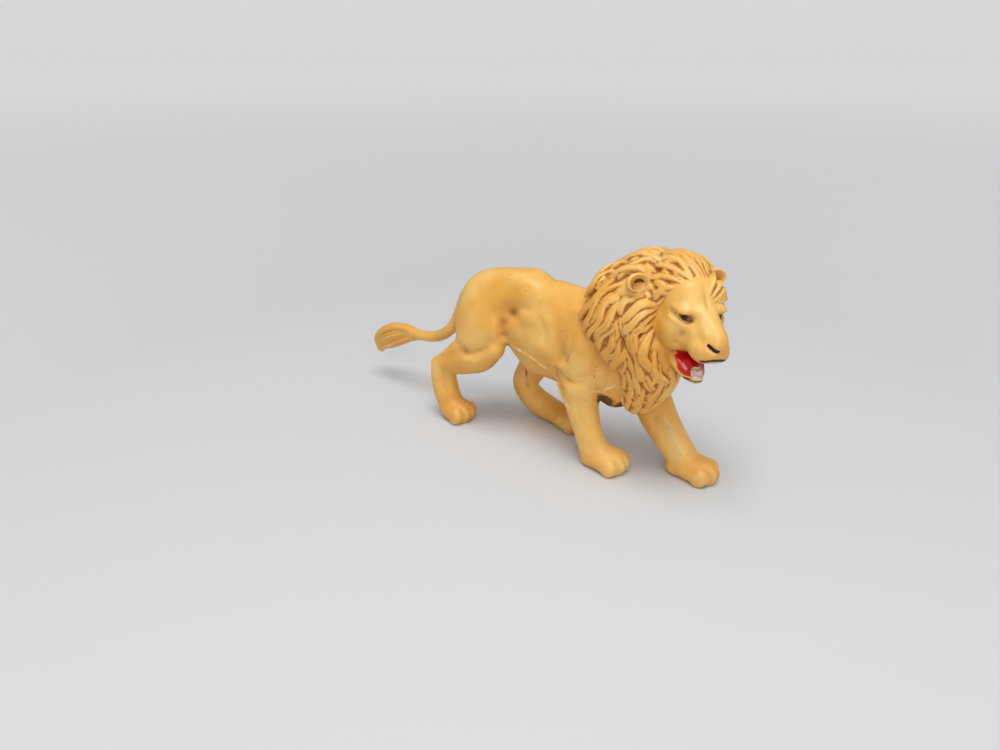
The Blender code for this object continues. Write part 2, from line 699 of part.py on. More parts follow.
def paw(along, left, length_share, width_share):
    """Pad and four toes, pointing ahead; they reach below the ground, which cuts the soles flat."""
    centre = body_point((along, left, 0.0))
    half_length = PAW_LENGTH * length_share / 2
    half_width = PAW_WIDTH * width_share / 2
    pad_centre = centre + np.array([0.08 * half_length, 0.0, 0.44 * PAW_HEIGHT])
    parts = [lump(pad_centre, (half_length * 0.93, PAW_HEIGHT * 0.56, half_width * 0.93))]
    for side_share in TOE_SIDE_SHARES:
        ahead = 0.66 - 1.5 * side_share**2
        toe_centre = centre + np.array([
            half_length * ahead,
            half_width * 2 * side_share,
            PAW_HEIGHT * 0.35,
        ])
        toe_sizes = (half_length * 0.36, PAW_HEIGHT * 0.43, half_width * 0.34)
        parts.append(lump(toe_centre, toe_sizes, (1.0, 0.0, -0.25)))
    return parts


def toe_slits(along, left, length_share, width_share):
    """Grooves between the toes, from the top of the paw over its front to the sole."""
    centre = body_point((along, left, 0.0))
    half_length = PAW_LENGTH * length_share / 2
    half_width = PAW_WIDTH * width_share / 2
    lines = []
    for side_share in TOE_SLIT_SHARES:
        front = 1.04 - 1.6 * side_share**2
        side = 2 * side_share * half_width
        path = [
            centre + np.array([(front - back) * half_length, side, high * PAW_HEIGHT])
            for back, high in ((0.50, 0.86), (0.14, 0.62), (0.0, 0.30), (0.0, -0.30))
        ]
        lines.append((0.40 * CREASE_WIDTH, -0.42 * CREASE_DEPTH, path))
    return lines


def build_body(finish):
    """Trunk and legs, with a socket in the rump for the peg of the tail."""
    parts = [trunk()]
    parts += [limb(name, 26) for name in LIMB_SHARES]
    hock_sizes = scaled(HOCK_RADIUS_SHARES, (LEG_THICKNESS,) * 3)
    parts += [lump(body_point(place), hock_sizes, (1.0, 0.0, -0.6)) for place in HOCK_SHARES]
    for row in PAW_SHARES:
        parts += paw(*row)
    body = new_object("body", parts, finish)
    fuse(body, BODY_VOXEL)
    smooth(body, 9)
    sizes = (TRUNK_LENGTH, TRUNK_WIDTH, BACK_HEIGHT)
    swell(body, MUSCLE_SHARES, sizes, MUSCLE_RELIEF)
    slits = [line for row in PAW_SHARES for line in toe_slits(*row)]
    carve(body, crease_lines(CREASE_SHARES, sizes) + slits)
    smooth(body, 1)
    flatten_soles(body)
    thin_out(body, BODY_FACES)
    flatten_soles(body)
    combine(body, tail_peg(SEAT_GAP, "tail_socket", finish), "DIFFERENCE")
    keep_largest(body)
    return body


def tail_point(back, down):
    root = body_point(TAIL_ROOT_SHARES)
    return root + np.array([-back * TAIL_REACH, 0.0, -down * TAIL_DROP])


def tail_rows(shares, upright, sideways):
    rows = []
    for back, down, upright_share, sideways_share in shares:
        rows.append((*tail_point(back, down), upright_share * upright, sideways_share * sideways))
    return np.array(rows)


def tail_peg(extra, name, finish):
    """Round peg at the root of the tail, which runs on into the rump along the first stretch."""
    root = tail_point(*TAIL_SHAFT_SHARES[1][:2])
    into = unit(tail_point(*TAIL_SHAFT_SHARES[0][:2]) - root)
    radius = TAIL_PEG_DIAMETER / 2 + extra
    ends = [root - into * TAIL_THICKNESS, root + into * (TAIL_PEG_LENGTH + extra)]
    rows = [(*end, radius, radius) for end in ends]
    return new_object(name, [loft(rows, 4, 12, cap_share=0.4)], finish)


def tuft_grooves():
    """Grooves that fan out from the neck of the tuft, on both of its sides."""
    width = TUFT_GROOVE_WIDTH_SHARE * CREASE_WIDTH
    height = TUFT_GROOVE_DEPTH_SHARE * CREASE_DEPTH
    lines = []
    for side in (-1.0, 1.0):
        for fan in TUFT_FAN_SHARES:
            path = []
            for back, down, sideways, spread in TUFT_GROOVE_SHARES:
                shift = (0.0, side * sideways * TUFT_THICKNESS, spread * fan * TUFT_DEPTH)
                path.append(tail_point(back, down) + np.array(shift))
            lines.append((width, height, path))
    return lines


def build_tail(body, finish):
    """Tail shaft and grooved tuft, cut to the rump, with a peg for the socket of the body."""
    parts = [
        loft(tail_rows(TAIL_SHAFT_SHARES, TAIL_THICKNESS, TAIL_THICKNESS), 40, 20),
        loft(tail_rows(TUFT_SHARES, TUFT_DEPTH, TUFT_THICKNESS), 26, 28),
    ]
    tail = new_object("tail", parts, finish)
    fuse(tail, TAIL_VOXEL)
    smooth(tail, 5)
    carve(tail, tuft_grooves())
    combine(tail, grown_copy(body, SEAT_GAP), "DIFFERENCE")
    keep_largest(tail)
    thin_out(tail, TAIL_FACES)
    combine(tail, tail_peg(0.0, "tail_peg", finish), "UNION")
    keep_largest(tail)
    return tail


def head_axes():
    """Forward, left and up of the head, as the columns of a matrix."""
    turn, nod, tilt = np.radians([HEAD_TURN, HEAD_NOD, HEAD_TILT])
    about_up = np.array([[np.cos(turn), -np.sin(turn), 0], [np.sin(turn), np.cos(turn), 0], [0, 0, 1]])
    about_left = np.array([[np.cos(nod), 0, np.sin(nod)], [0, 1, 0], [-np.sin(nod), 0, np.cos(nod)]])
    about_ahead = np.array([[1, 0, 0], [0, np.cos(tilt), -np.sin(tilt)], [0, np.sin(tilt), np.cos(tilt)]])
    return about_up @ about_left @ about_ahead


def in_head(points):
    """From the frame of the head to that of the figure."""
    return np.asarray(points) @ head_axes().T + body_point(FACE_PLACE_SHARES)


def head_sizes():
    return (HEAD_LENGTH, HEAD_WIDTH, HEAD_HEIGHT)


def head_loft(shares, count, cap_share):
    """Loft in the frame of the head."""
    rows = scaled(shares, (*head_sizes(), HEAD_HEIGHT, HEAD_WIDTH))
    return loft(rows, count, 28, cap_share=cap_share)


def head_lump(shares, side=1.0, ahead=(1.0, 0.0, 0.0)):
    """Lump in the frame of the head."""
    forward, left, up, half_forward, half_up, half_left = shares
    centre = scaled((forward, left * side, up), head_sizes())
    half_sizes = scaled((half_forward, half_up, half_left), (HEAD_LENGTH, HEAD_HEIGHT, HEAD_WIDTH))
    return lump(centre, half_sizes, ahead)


def mesh_of(item):
    """Points and faces of an object, which is used up."""
    made = read_points(item), [list(face.vertices) for face in item.data.polygons]
    bpy.data.objects.remove(item)
    return made


def face_surface(finish):
    """Skull, cheeks, brows and muzzle melted into one skin, with lids, folds and nostrils."""
    parts = [head_loft(MUZZLE_SHARES, 16, 0.55), head_loft(BRIDGE_SHARES, 16, 0.5)]
    for shares in SKULL_SHARES:
        for side in (-1.0, 1.0) if shares[1] else (1.0,):
            parts.append(head_lump(shares, side))
    face = new_object("face", parts, finish)
    fuse(face, FACE_VOXEL)
    smooth(face, 36)
    both = (1.0, -1.0)
    spots = []
    for row in FACE_SPOT_SHARES:
        spots += [(row[0], row[1] * side, *row[2:]) for side in both if row[1] or side > 0]
    swell(face, spots, head_sizes(), MUSCLE_RELIEF)
    carve(face, crease_lines(FACE_LINE_SHARES, head_sizes(), both))
    smooth(face, 3)
    carve(face, crease_lines(NOSTRIL_SHARES, head_sizes()))
    return mesh_of(face)


def lower_teeth():
    """Seven pegs along the front of the lower jaw."""
    teeth = []
    for place_share in np.linspace(-1.0, 1.0, 7):
        forward = (0.154 - 0.036 * place_share**2) * HEAD_LENGTH
        left = 0.090 * place_share * HEAD_WIDTH
        base = -0.610 * HEAD_HEIGHT
        tip = (forward + 0.1 * TOOTH_HEIGHT, left, base + TOOTH_HEIGHT)
        rows = [
            (forward, left, base, 0.27 * TOOTH_HEIGHT, 0.24 * TOOTH_HEIGHT),
            (*tip, 0.20 * TOOTH_HEIGHT, 0.18 * TOOTH_HEIGHT),
        ]
        teeth.append(loft(rows, 4, 8))
    return teeth


def ear(side, centre):
    """Oval bowl about its own axis, open ahead and outwards, in the frame of the figure."""
    axis = unit(np.array(EAR_AXIS_SHARES) * (1.0, side, 1.0))
    right = unit(np.cross(axis, (0.0, 0.0, 1.0)))
    up = np.cross(right, axis)
    front = unit(np.array((1.0, 0.0, 0.0)) - axis[0] * axis)
    angle = np.linspace(0.0, 2 * np.pi, 24, endpoint=False)
    turned = np.cos(angle)[:, None] * right * EAR_LONG_SHARE
    turned = turned + np.sin(angle)[:, None] * up * EAR_TALL_SHARE
    radius, depth = np.array(EAR_PROFILE_SHARES).T[:, :, None]
    depth = depth - EAR_RIM_SHARE * (turned @ front) * (radius > 0.3)
    slide = EAR_RIM_SHARE * np.linspace(-1.0, 1.0, len(radius)).clip(0.0)[:, None]**0.5
    rings = depth[..., None] * axis + radius[..., None] * turned + slide[..., None] * front
    poles = np.array([rings[0].mean(axis=0), rings[-1].mean(axis=0)])
    points = np.vstack([rings.reshape(-1, 3), poles]) * EAR_DIAMETER
    faces = ring_faces(len(radius), len(angle))
    return points @ head_axes().T + centre, [face[::-1] for face in faces]


def mane_rows(place_shares, size_shares, before=(), behind=MANE_SHARES):
    """Rows of the mane: one at a place of the head, those before it and those behind it."""
    place = in_head(scaled(place_shares, head_sizes()))
    row = (*place, size_shares[0] * MANE_HEIGHT, size_shares[1] * MANE_WIDTH)
    sizes = (TRUNK_LENGTH, TRUNK_WIDTH, BACK_HEIGHT, MANE_HEIGHT, MANE_WIDTH)
    return np.vstack([scaled(ahead, sizes) for ahead in before] + [row, scaled(behind, sizes)])


def core_rows():
    return mane_rows(CORE_FRONT_SHARES, CORE_FRONT_SIZE_SHARES)


def guide_rows():
    return mane_rows(HAIRLINE_SHARES, HAIRLINE_SIZE_SHARES, (GUIDE_FRONT_SHARES,), GUIDE_SHARES)


def beard_rows():
    root = body_point(BEARD_ROOT_SHARES)
    sizes = (BEARD_LENGTH, TRUNK_WIDTH, -BEARD_LENGTH, BEARD_WIDTH, BEARD_WIDTH)
    rows = scaled(BEARD_SHARES, sizes)
    rows[:, :3] += root
    return rows


def guide_table(rows):
    """Dense rows of a guide, each with its sideways and upright vectors."""
    dense = smooth_rows(rows, 80)
    ahead, side, up = path_frame(dense[:, :3], (0.0, 1.0, 0.0))
    return np.hstack([dense, side, up])


def on_guide(table, share, degrees):
    """Axis of a guide and the points over it, at shares along it and degrees from its top."""
    stations = np.linspace(0.0, 1.0, len(table))
    read = np.stack([np.interp(share, stations, column) for column in table.T], axis=-1)
    turned = np.radians(degrees)[:, None]
    out = read[:, 4:5] * np.sin(turned) * read[:, 5:8]
    out = out - read[:, 3:4] * np.cos(turned) * read[:, 8:11]
    return read[:, :3], read[:, :3] + out


def drop_on_skin(skin, axis, points):
    """Where straight lines from outside towards the axis first meet the skin, and its normals."""
    places, normals = [], []
    for centre, point in zip(axis, points):
        out = unit(point - centre)
        place, normal = skin.ray_cast(Vector(centre + out * MANE_HEIGHT), Vector(-out))[:2]
        places.append(place if place else point)
        normals.append(normal if place else out)
    return np.array(places), np.array(normals)


def lock(table, skin, path, width, lift, wave, phase, strands):
    """One lock of hair: a tapering leaf with strands, whose underside stays in the skin it lies on.

    The path gives shares along the guide and degrees from its top; wave is in degrees too.
    """
    share = np.linspace(0.0, 1.0, 9)
    way = smooth_rows([(along, degrees / 360.0, 0.0) for along, degrees in path], len(share))
    swing = wave * np.sin(2 * np.pi * (share + phase)) * np.minimum(1.0, 2 * share)
    points, normals = drop_on_skin(skin, *on_guide(table, way[:, 0], way[:, 1] * 360.0 + swing))
    for _ in range(2):
        normals[1:-1] = unit(normals[:-2] + 2 * normals[1:-1] + normals[2:])
    lifts = np.interp(share, LOCK_STATION_SHARES, LOCK_LIFT_SHARES) + lift
    points = points + normals * (LOCK_HEIGHT * lifts)[:, None]
    fine = np.linspace(0.0, 1.0, 16)
    centres = smooth_rows(points, len(fine))
    normals = unit(np.stack([np.interp(fine, share, column) for column in normals.T], axis=-1))
    ahead = unit(np.gradient(centres, axis=0))
    side = unit(np.cross(normals, ahead))
    up = np.cross(ahead, side)
    wide = width * LOCK_WIDTH * 0.5 * np.interp(fine, LOCK_STATION_SHARES, LOCK_WIDTH_SHARES)
    high = np.sqrt(width) * LOCK_HEIGHT * np.interp(fine, LOCK_STATION_SHARES, LOCK_HEIGHT_SHARES)
    angle = np.linspace(0.0, 2 * np.pi, 14, endpoint=False)
    across, over = np.sin(angle), np.cos(angle)
    strand = 0.86 + 0.14 * np.cos(np.pi * strands * across + 0.6 * np.sin(3 * fine)[:, None])
    crest = np.where(over > 0, over * strand, over * 1.5)
    rings = centres[:, None] + (wide[:, None] * across)[..., None] * side[:, None]
    rings = rings + (high[:, None] * crest)[..., None] * up[:, None]
    poles = np.stack([centres[0] - ahead[0] * 0.1 * high[0], centres[-1] + ahead[-1] * 0.1 * high[-1]])
    return np.vstack([rings.reshape(-1, 3), poles]), ring_faces(len(fine), len(angle))


def drawn_locks(table, skin, random):
    """The locks of the table, on both sides; wide ones have more strands."""
    locks = []
    for *path, width in LOCK_PATH_SHARES:
        for side in (1.0, -1.0):
            stops = [(along, degrees * side) for along, degrees in zip(path[::2], path[1::2])]
            strands = 1.5 if width < 0.88 else 2.5 if width < 1.2 else 3.5
            lift = random.uniform(*DRAWN_LIFT_SHARES)
            phase = random.uniform(0.0, 1.0)
            locks.append(lock(table, skin, stops, width, lift, DRAWN_WAVE_ANGLE, phase, strands))
    return locks


def fill_locks(table, skin, random):
    """Rows behind the hairline; those at the sides hang down, those below are shorter."""
    locks = []
    for start, row_length, count in FILL_ROW_SHARES:
        for number in range(count):
            degrees = FILL_REACH_ANGLE * (2 * (number + random.uniform(0.2, 0.8)) / count - 1)
            low = np.clip((abs(degrees) - 80) / 45, 0.0, 1.0)
            drift = np.sign(degrees) * (np.clip((abs(degrees) - 20) / 60, 0.0, 1.0) * 16 + 26 * low)
            along = np.interp(abs(degrees), HAIRLINE_ANGLES, HAIRLINE_START_SHARES) + start
            along += random.uniform(-0.02, 0.03)
            length = min(row_length, 1.02 - along) * (1 - 0.55 * low)
            stops = [
                (along, degrees),
                (along + 0.5 * length, degrees + 0.4 * drift),
                (along + length, degrees + drift),
            ]
            width = FILL_WIDTH_SHARE * random.uniform(0.8, 1.2)
            wave, phase = random.uniform(*FILL_WAVE_ANGLES), random.uniform(0.0, 1.0)
            locks.append(lock(table, skin, stops, width, FILL_LIFT_SHARE, wave, phase, 2.2))
    return locks


def beard_locks(table, skin, random):
    """Rows down the beard, all round it but for the chin."""
    locks = []
    for row, (start, length, count) in enumerate(BEARD_ROW_SHARES):
        for number in range(count):
            degrees = 360 * (number + 0.5 * (row % 2) + random.uniform(-0.2, 0.2)) / count - 180
            along = start + random.uniform(-0.03, 0.03)
            stops = [
                (along, degrees),
                (along + 0.5 * length, degrees + random.uniform(-6.0, 6.0)),
                (min(along + length, 1.0), degrees),
            ]
            width = BEARD_WIDTH_SHARE * random.uniform(0.75, 1.25)
            wave, phase = random.uniform(*BEARD_WAVE_ANGLES), random.uniform(0.0, 1.0)
            made = lock(table, skin, stops, width, BEARD_LIFT_SHARE, wave, phase, 1.8)
            if not under_chin(made[0]):
                locks.append(made)
    return locks


def under_chin(points):
    """True where a lock would cross the lower jaw."""
    forward, left, up = ((points - body_point(FACE_PLACE_SHARES)) @ head_axes()).T
    return ((forward > -0.02 * HEAD_LENGTH) & (up > -0.63 * HEAD_HEIGHT)).any()


def covers_ear(points, ears):
    away = np.linalg.norm(points[:, None] - ears, axis=-1)
    return away.min() < EAR_CLEAR_SHARE * EAR_DIAMETER


def build_head(body, finish):
    """Face, jaw, ears and mane in one moulding, hollowed to sit over the neck and shoulders."""
    random = np.random.default_rng(LOCK_SEED)
    face, faces = face_surface(finish)
    plain = [(in_head(face), faces)]
    plain += [loft(core_rows(), 24, 36, cap_share=0.35), loft(beard_rows(), 18, 28, cap_share=0.5)]
    base = new_object("mane_base", plain, finish)
    fuse(base, HEAD_VOXEL)
    smooth(base, 8)
    skin = surface_tree(base)
    guide, beard = guide_table(guide_rows()), guide_table(beard_rows())
    spots = on_guide(guide, np.array(EAR_SPOT_SHARES), np.array(EAR_SPOT_ANGLES))
    ears, out = drop_on_skin(skin, *spots)
    ears = ears + out * EAR_STAND_SHARE * EAR_DIAMETER
    locks = fill_locks(guide, skin, random) + drawn_locks(guide, skin, random)
    locks += beard_locks(beard, skin, random)
    parts = plain + [made for made in locks if not covers_ear(made[0], ears)]
    parts += [ear(side, centre) for side, centre in zip((-1.0, 1.0), ears)]
    small = [head_loft(JAW_SHARES, 18, 0.8), head_lump(TONGUE_SHARES, ahead=(1.0, 0.0, -0.3))]
    small += [head_lump(EYE_SHARES, side) for side in (-1.0, 1.0)] + lower_teeth()
    parts += [(in_head(points), point_faces) for points, point_faces in small]
    bpy.data.objects.remove(base)
    head = new_object("head", parts, finish)
    fuse(head, HEAD_VOXEL)
    smooth(head, 1)
    combine(head, grown_copy(body, SEAT_GAP), "DIFFERENCE")
    keep_largest(head)
    thin_out(head, HEAD_FACES)
    return head


def stand_on_origin(items):
    """Shifts the meshes so that the box round them is centred over the origin and stands on it."""
    clouds = [read_points(item) for item in items]
    everything = np.vstack(clouds)
    low, high = everything.min(axis=0), everything.max(axis=0)
    shift = np.array([(low[0] + high[0]) / 2, (low[1] + high[1]) / 2, low[2]])
    for item, points in zip(items, clouds):
        move_points(item, points - shift)
        item.data.shade_smooth()


def main():
    clear_scene()
    ochre = plastic("ochre_plastic", OCHRE, 0.45)
    body = build_body(ochre)
    head = build_head(body, ochre)
    tail = build_tail(body, ochre)
    stand_on_origin([body, head, tail])


main()
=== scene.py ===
# Toy lion in soft plastic. Sizes are in millimetres in the lion's own frame: x towards the head,
# y to its left, z up from the soles. Everything is moved to the CAD model's frame at the end.
import math
import bpy
import numpy as np
from mathutils import Matrix, Vector
from mathutils.bvhtree import BVHTree


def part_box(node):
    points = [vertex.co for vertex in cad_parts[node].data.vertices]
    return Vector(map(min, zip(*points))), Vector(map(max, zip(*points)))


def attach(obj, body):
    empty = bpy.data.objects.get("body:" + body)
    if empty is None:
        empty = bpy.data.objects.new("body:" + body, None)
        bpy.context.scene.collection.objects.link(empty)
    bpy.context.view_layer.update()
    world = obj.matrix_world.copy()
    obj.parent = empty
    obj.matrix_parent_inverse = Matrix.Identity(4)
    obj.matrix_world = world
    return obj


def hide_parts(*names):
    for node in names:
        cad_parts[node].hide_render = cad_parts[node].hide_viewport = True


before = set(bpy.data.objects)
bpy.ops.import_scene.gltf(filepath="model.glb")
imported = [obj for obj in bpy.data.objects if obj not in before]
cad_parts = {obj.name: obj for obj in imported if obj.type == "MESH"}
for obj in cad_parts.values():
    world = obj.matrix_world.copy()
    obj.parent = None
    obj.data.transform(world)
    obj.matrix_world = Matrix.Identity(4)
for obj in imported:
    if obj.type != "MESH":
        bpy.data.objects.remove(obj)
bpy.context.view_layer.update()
randomDraw = np.random.default_rng(11)


# surfaces

def smoothRows(rows, count):
    # cubic p(t) = h00 p0 + h10 d m0 + h01 p1 + h11 d m1 through the rows, t even along the path
    rows = np.asarray(rows, float)
    steps = np.linalg.norm(np.diff(rows[:, :3], axis=0), axis=1)
    at = np.concatenate([[0.0], np.cumsum(steps)])
    slopes = np.diff(rows, axis=0) / steps[:, None]
    before, after = steps[:-1, None], steps[1:, None]
    middle = (slopes[:-1] * after + slopes[1:] * before) / (before + after)
    tangents = np.vstack([slopes[:1], middle, slopes[-1:]])
    want = np.linspace(0.0, at[-1], count)
    span = np.clip(np.searchsorted(at, want, side="right") - 1, 0, len(steps) - 1)
    size = steps[span][:, None]
    t = (want - at[span])[:, None] / size
    start = (2 * t**3 - 3 * t**2 + 1) * rows[span] + (t**3 - 2 * t**2 + t) * size * tangents[span]
    end = (3 * t**2 - 2 * t**3) * rows[span + 1] + (t**3 - t**2) * size * tangents[span + 1]
    return start + end


def unit(v):
    # v / |v|
    return v / np.linalg.norm(v, axis=-1, keepdims=True)


def pathFrame(centres, across):
    # ahead = dC/ds; side = across made square to it; up = ahead x side
    ahead = unit(np.gradient(centres, axis=0))
    across = np.broadcast_to(np.asarray(across, float), ahead.shape)
    side = unit(across - (across * ahead).sum(1, keepdims=True) * ahead)
    return ahead, side, np.cross(ahead, side)


def ringFaces(rings, sides):
    # four corners between each pair of rings, and a fan to the pole at either end
    i, j = np.meshgrid(np.arange(rings - 1), np.arange(sides), indexing="ij")
    k = (j + 1) % sides
    quads = np.stack([i * sides + j, (i + 1) * sides + j, (i + 1) * sides + k, i * sides + k], -1)
    j = np.arange(sides)
    k = (j + 1) % sides
    last = (rings - 1) * sides
    pole = np.full(sides, rings * sides)
    return (quads.reshape(-1, 4).tolist() + np.stack([j, k, pole], -1).tolist()
            + np.stack([last + k, last + j, pole + 1], -1).tolist())


def loft(rows, count=24, sides=24, across=(0, 1, 0), cap=0.8):
    # P(s, a) = C(s) + A(s) cos a up + B(s) sin a side, with quarter-ellipse caps of reach cap * min(A, B)
    rows = smoothRows(rows, count)
    centres, high, wide = rows[:, :3], rows[:, 3], rows[:, 4]
    ahead, side, up = pathFrame(centres, across)
    turn = np.radians([25.0, 50.0, 75.0])
    reach = cap * np.minimum(high, wide)
    first = centres[0] - ahead[0] * reach[0] * np.sin(turn[::-1])[:, None]
    final = centres[-1] + ahead[-1] * reach[-1] * np.sin(turn)[:, None]
    shrink = np.concatenate([np.cos(turn[::-1]), np.ones(count), np.cos(turn)])
    pick = np.clip(np.arange(-3, count + 3), 0, count - 1)
    angle = np.linspace(0, 2 * np.pi, sides, endpoint=False)
    rings = np.vstack([first, centres, final])[:, None]
    rings = rings + ((high[pick] * shrink)[:, None] * np.cos(angle))[..., None] * up[pick][:, None]
    rings = rings + ((wide[pick] * shrink)[:, None] * np.sin(angle))[..., None] * side[pick][:, None]
    poles = np.stack([centres[0] - ahead[0] * reach[0], centres[-1] + ahead[-1] * reach[-1]])
    return np.vstack([rings.reshape(-1, 3), poles]), ringFaces(count + 6, sides)


def lump(centre, sizes, ahead=(1, 0, 0), across=(0, 1, 0), sides=20):
    # ellipsoid x^2/a^2 + y^2/b^2 + z^2/c^2 = 1 with sizes ahead, upright, sideways
    along = np.linspace(-0.96, 0.96, 9)
    thick = np.sqrt(1 - along**2)
    centres = np.asarray(centre, float) + along[:, None] * unit(np.asarray(ahead, float)) * sizes[0]
    return loft(np.column_stack([centres, thick * sizes[1], thick * sizes[2]]), 11, sides, across, 0.25)


def makePiece(name, parts):
    points, faces, offset = [], [], 0
    for partPoints, partFaces in parts:
        points.append(partPoints)
        faces += [[i + offset for i in face] for face in partFaces]
        offset += len(partPoints)
    mesh = bpy.data.meshes.new(name)
    mesh.from_pydata(np.vstack(points).tolist(), [], faces)
    piece = bpy.data.objects.new(name, mesh)
    bpy.context.scene.collection.objects.link(piece)
    return piece


def bake(piece):
    bpy.context.view_layer.update()
    graph = bpy.context.evaluated_depsgraph_get()
    mesh = bpy.data.meshes.new_from_object(piece.evaluated_get(graph))
    piece.modifiers.clear()
    piece.data = mesh


def fuse(piece, voxel):
    remesh = piece.modifiers.new("fuse", "REMESH")
    remesh.mode = "VOXEL"
    remesh.voxel_size = voxel
    bake(piece)


def readPoints(piece, what="co"):
    values = np.empty(len(piece.data.vertices) * 3, np.float32)
    piece.data.vertices.foreach_get(what, values)
    return values.reshape(-1, 3).astype(float)


def writePoints(piece, points):
    piece.data.vertices.foreach_set("co", points.astype(np.float32).ravel())
    piece.data.update()


def readFaces(piece):
    return [list(face.vertices) for face in piece.data.polygons]


def spread(piece, values, rounds, amount=0.5):
    # v <- v + amount (mean of neighbours - v), for a row of values at each point
    pairs = np.empty(len(piece.data.edges) * 2, np.int32)
    piece.data.edges.foreach_get("vertices", pairs)
    a, b = pairs.reshape(-1, 2).T
    total = len(values)
    near = np.bincount(a, minlength=total) + np.bincount(b, minlength=total)
    for _ in range(rounds):
        summed = np.stack([
            np.bincount(a, row[b], total) + np.bincount(b, row[a], total) for row in values.T
        ], -1)
        values = values + amount * (summed / near[:, None] - values)
    return values


def relax(piece, rounds, amount=0.5):
    # the same spreading, of the places themselves
    writePoints(piece, spread(piece, readPoints(piece), rounds, amount))


def swell(piece, spots):
    # each spot lifts the skin along its normal by h exp(-|(p - c) / size|^2)
    points, normals = readPoints(piece), readPoints(piece, "normal")
    rise = np.zeros(len(points))
    for centre, size, height in spots:
        away = ((points - centre) / np.broadcast_to(size, 3))
        rise += height * np.exp(-(away**2).sum(1))
    writePoints(piece, points + normals * rise[:, None])


def distanceTo(points, path, count=60):
    # nearest distance from each point to a smooth curve, and how far along it that lies
    path = np.asarray(path, float)
    curve = smoothRows(path, count)[:, :3]
    low, high = curve.min(0) - 4, curve.max(0) + 4
    close = np.all((points > low) & (points < high), axis=1)
    away, along = np.full(len(points), 99.0), np.zeros(len(points))
    if close.any():
        gaps = np.linalg.norm(points[close][:, None] - curve, axis=2)
        away[close] = gaps.min(1)
        along[close] = gaps.argmin(1) / (count - 1)
    return away, along


def snapped(skin, path, count=16):
    # the same smooth line, brought to the nearest places of the skin
    places = np.array([skin.find_nearest(Vector(point))[0][:] for point in smoothRows(path, count)[:, :3]])
    return places[np.append(True, np.linalg.norm(np.diff(places, axis=0), axis=1) > .03)]


def carve(piece, lines):
    # each line moves the skin by h exp(-(d / w)^2) fading at both ends; h < 0 cuts a groove
    points, normals = readPoints(piece), readPoints(piece, "normal")
    rise = np.zeros(len(points))
    skin = BVHTree.FromObject(piece, bpy.context.evaluated_depsgraph_get())
    for path, width, height in lines:
        away, along = distanceTo(points, snapped(skin, path))
        fade = np.clip(np.minimum(along, 1 - along) / 0.22, 0, 1)
        rise += height * fade * np.exp(-(away / width)**2)
    writePoints(piece, points + normals * rise[:, None])


def mark(piece, name, values):
    layer = piece.data.attributes.new(name, "FLOAT", "POINT")
    layer.data.foreach_set("value", values.astype(np.float32))


# body

trunk = dict(
    # x, top, bottom, half width
    rows=[(-2.4, 29.4, 23, 2.6), (0.5, 32.4, 20.5, 4.7), (5, 34.9, 19.5, 6.2), (10, 36.2, 19.3, 6.6),
          (14.5, 36.6, 18.2, 6.1), (18.5, 36.1, 15.4, 6.2), (23, 35.5, 14.2, 6.9), (28, 35.1, 13.6, 7.4),
          (33, 35.3, 13.2, 7.4), (38, 36.0, 13.2, 6.6), (42, 36.4, 15.5, 5.4), (45, 36.0, 20, 4.2)],
)
limbs = dict(
    neck=[(38, 0, 28, 8, 6), (43, .5, 31, 6.2, 5.6), (47, 1, 33.5, 5, 5)],
    rightThigh=[(5.5, -3.2, 30.5, 5.3, 2.6), (6.2, -4.3, 26.5, 6.8, 3.5), (6.1, -5, 22.5, 6.8, 3.8),
                (5.7, -5.6, 19.4, 5.8, 3.6)],
    rightShank=[(10.2, -6, 20.2, 3, 2.7), (7, -6.3, 17.1, 3.4, 3), (2.6, -6.4, 14.9, 3, 2.7),
                (-1.6, -6.4, 13.2, 2.8, 2.5), (-4, -6.4, 11.2, 3.1, 2.6), (-3.9, -6.4, 8.3, 3.2, 2.6),
                (-3, -6.5, 5.4, 3.2, 2.7), (-1.9, -6.5, 2.8, 3.1, 2.8)],
    rightCalf=[(-4.4, -6.4, 13.4, 1.5, 1.8), (-1.1, -6.4, 16.3, 1.6, 2), (1.6, -6.2, 18.7, 1.8, 2.2),
               (4, -5.6, 21, 2.2, 2.4)],
    leftThigh=[(6.5, 3.2, 30, 5.5, 2.6), (8.8, 4.3, 26, 6.8, 3.5), (11.1, 5, 22, 6.8, 3.7),
               (12.6, 5.4, 19, 6, 3.5)],
    leftShank=[(15.8, 5.6, 18.7, 4, 2.9), (14.1, 5.7, 14.8, 4, 3), (11.6, 5.7, 10.8, 3.4, 2.7),
               (10.2, 5.7, 7.7, 3.1, 2.6), (12, 5.7, 5.1, 3.1, 2.6), (15.6, 5.7, 3.5, 3, 2.7),
               (19.4, 5.8, 2.7, 2.6, 2.8)],
    rightForeleg=[(33, -3.8, 31, 5.6, 2.6), (32.6, -4.8, 26, 5.8, 3.2), (31.8, -5.2, 20.5, 5.2, 3.3),
                  (31.9, -5.2, 16.6, 4.2, 3.1), (32.3, -5.1, 13, 3.7, 2.9), (33.3, -5, 9.6, 3.3, 2.7),
                  (34.4, -4.9, 6.4, 3.1, 2.7), (35.8, -4.8, 3.4, 3.2, 2.9)],
    leftForeleg=[(36, 3.6, 29, 5.4, 2.6), (38.2, 4.2, 24, 5.5, 3.1), (40.5, 4.5, 18.5, 5, 3.2),
                 (43.1, 4.2, 13.6, 4.6, 3.1), (46.1, 3.8, 9.4, 4, 2.9), (48.9, 3.5, 6.2, 3.5, 2.9),
                 (51.3, 3.3, 3.7, 3.2, 3)],
)
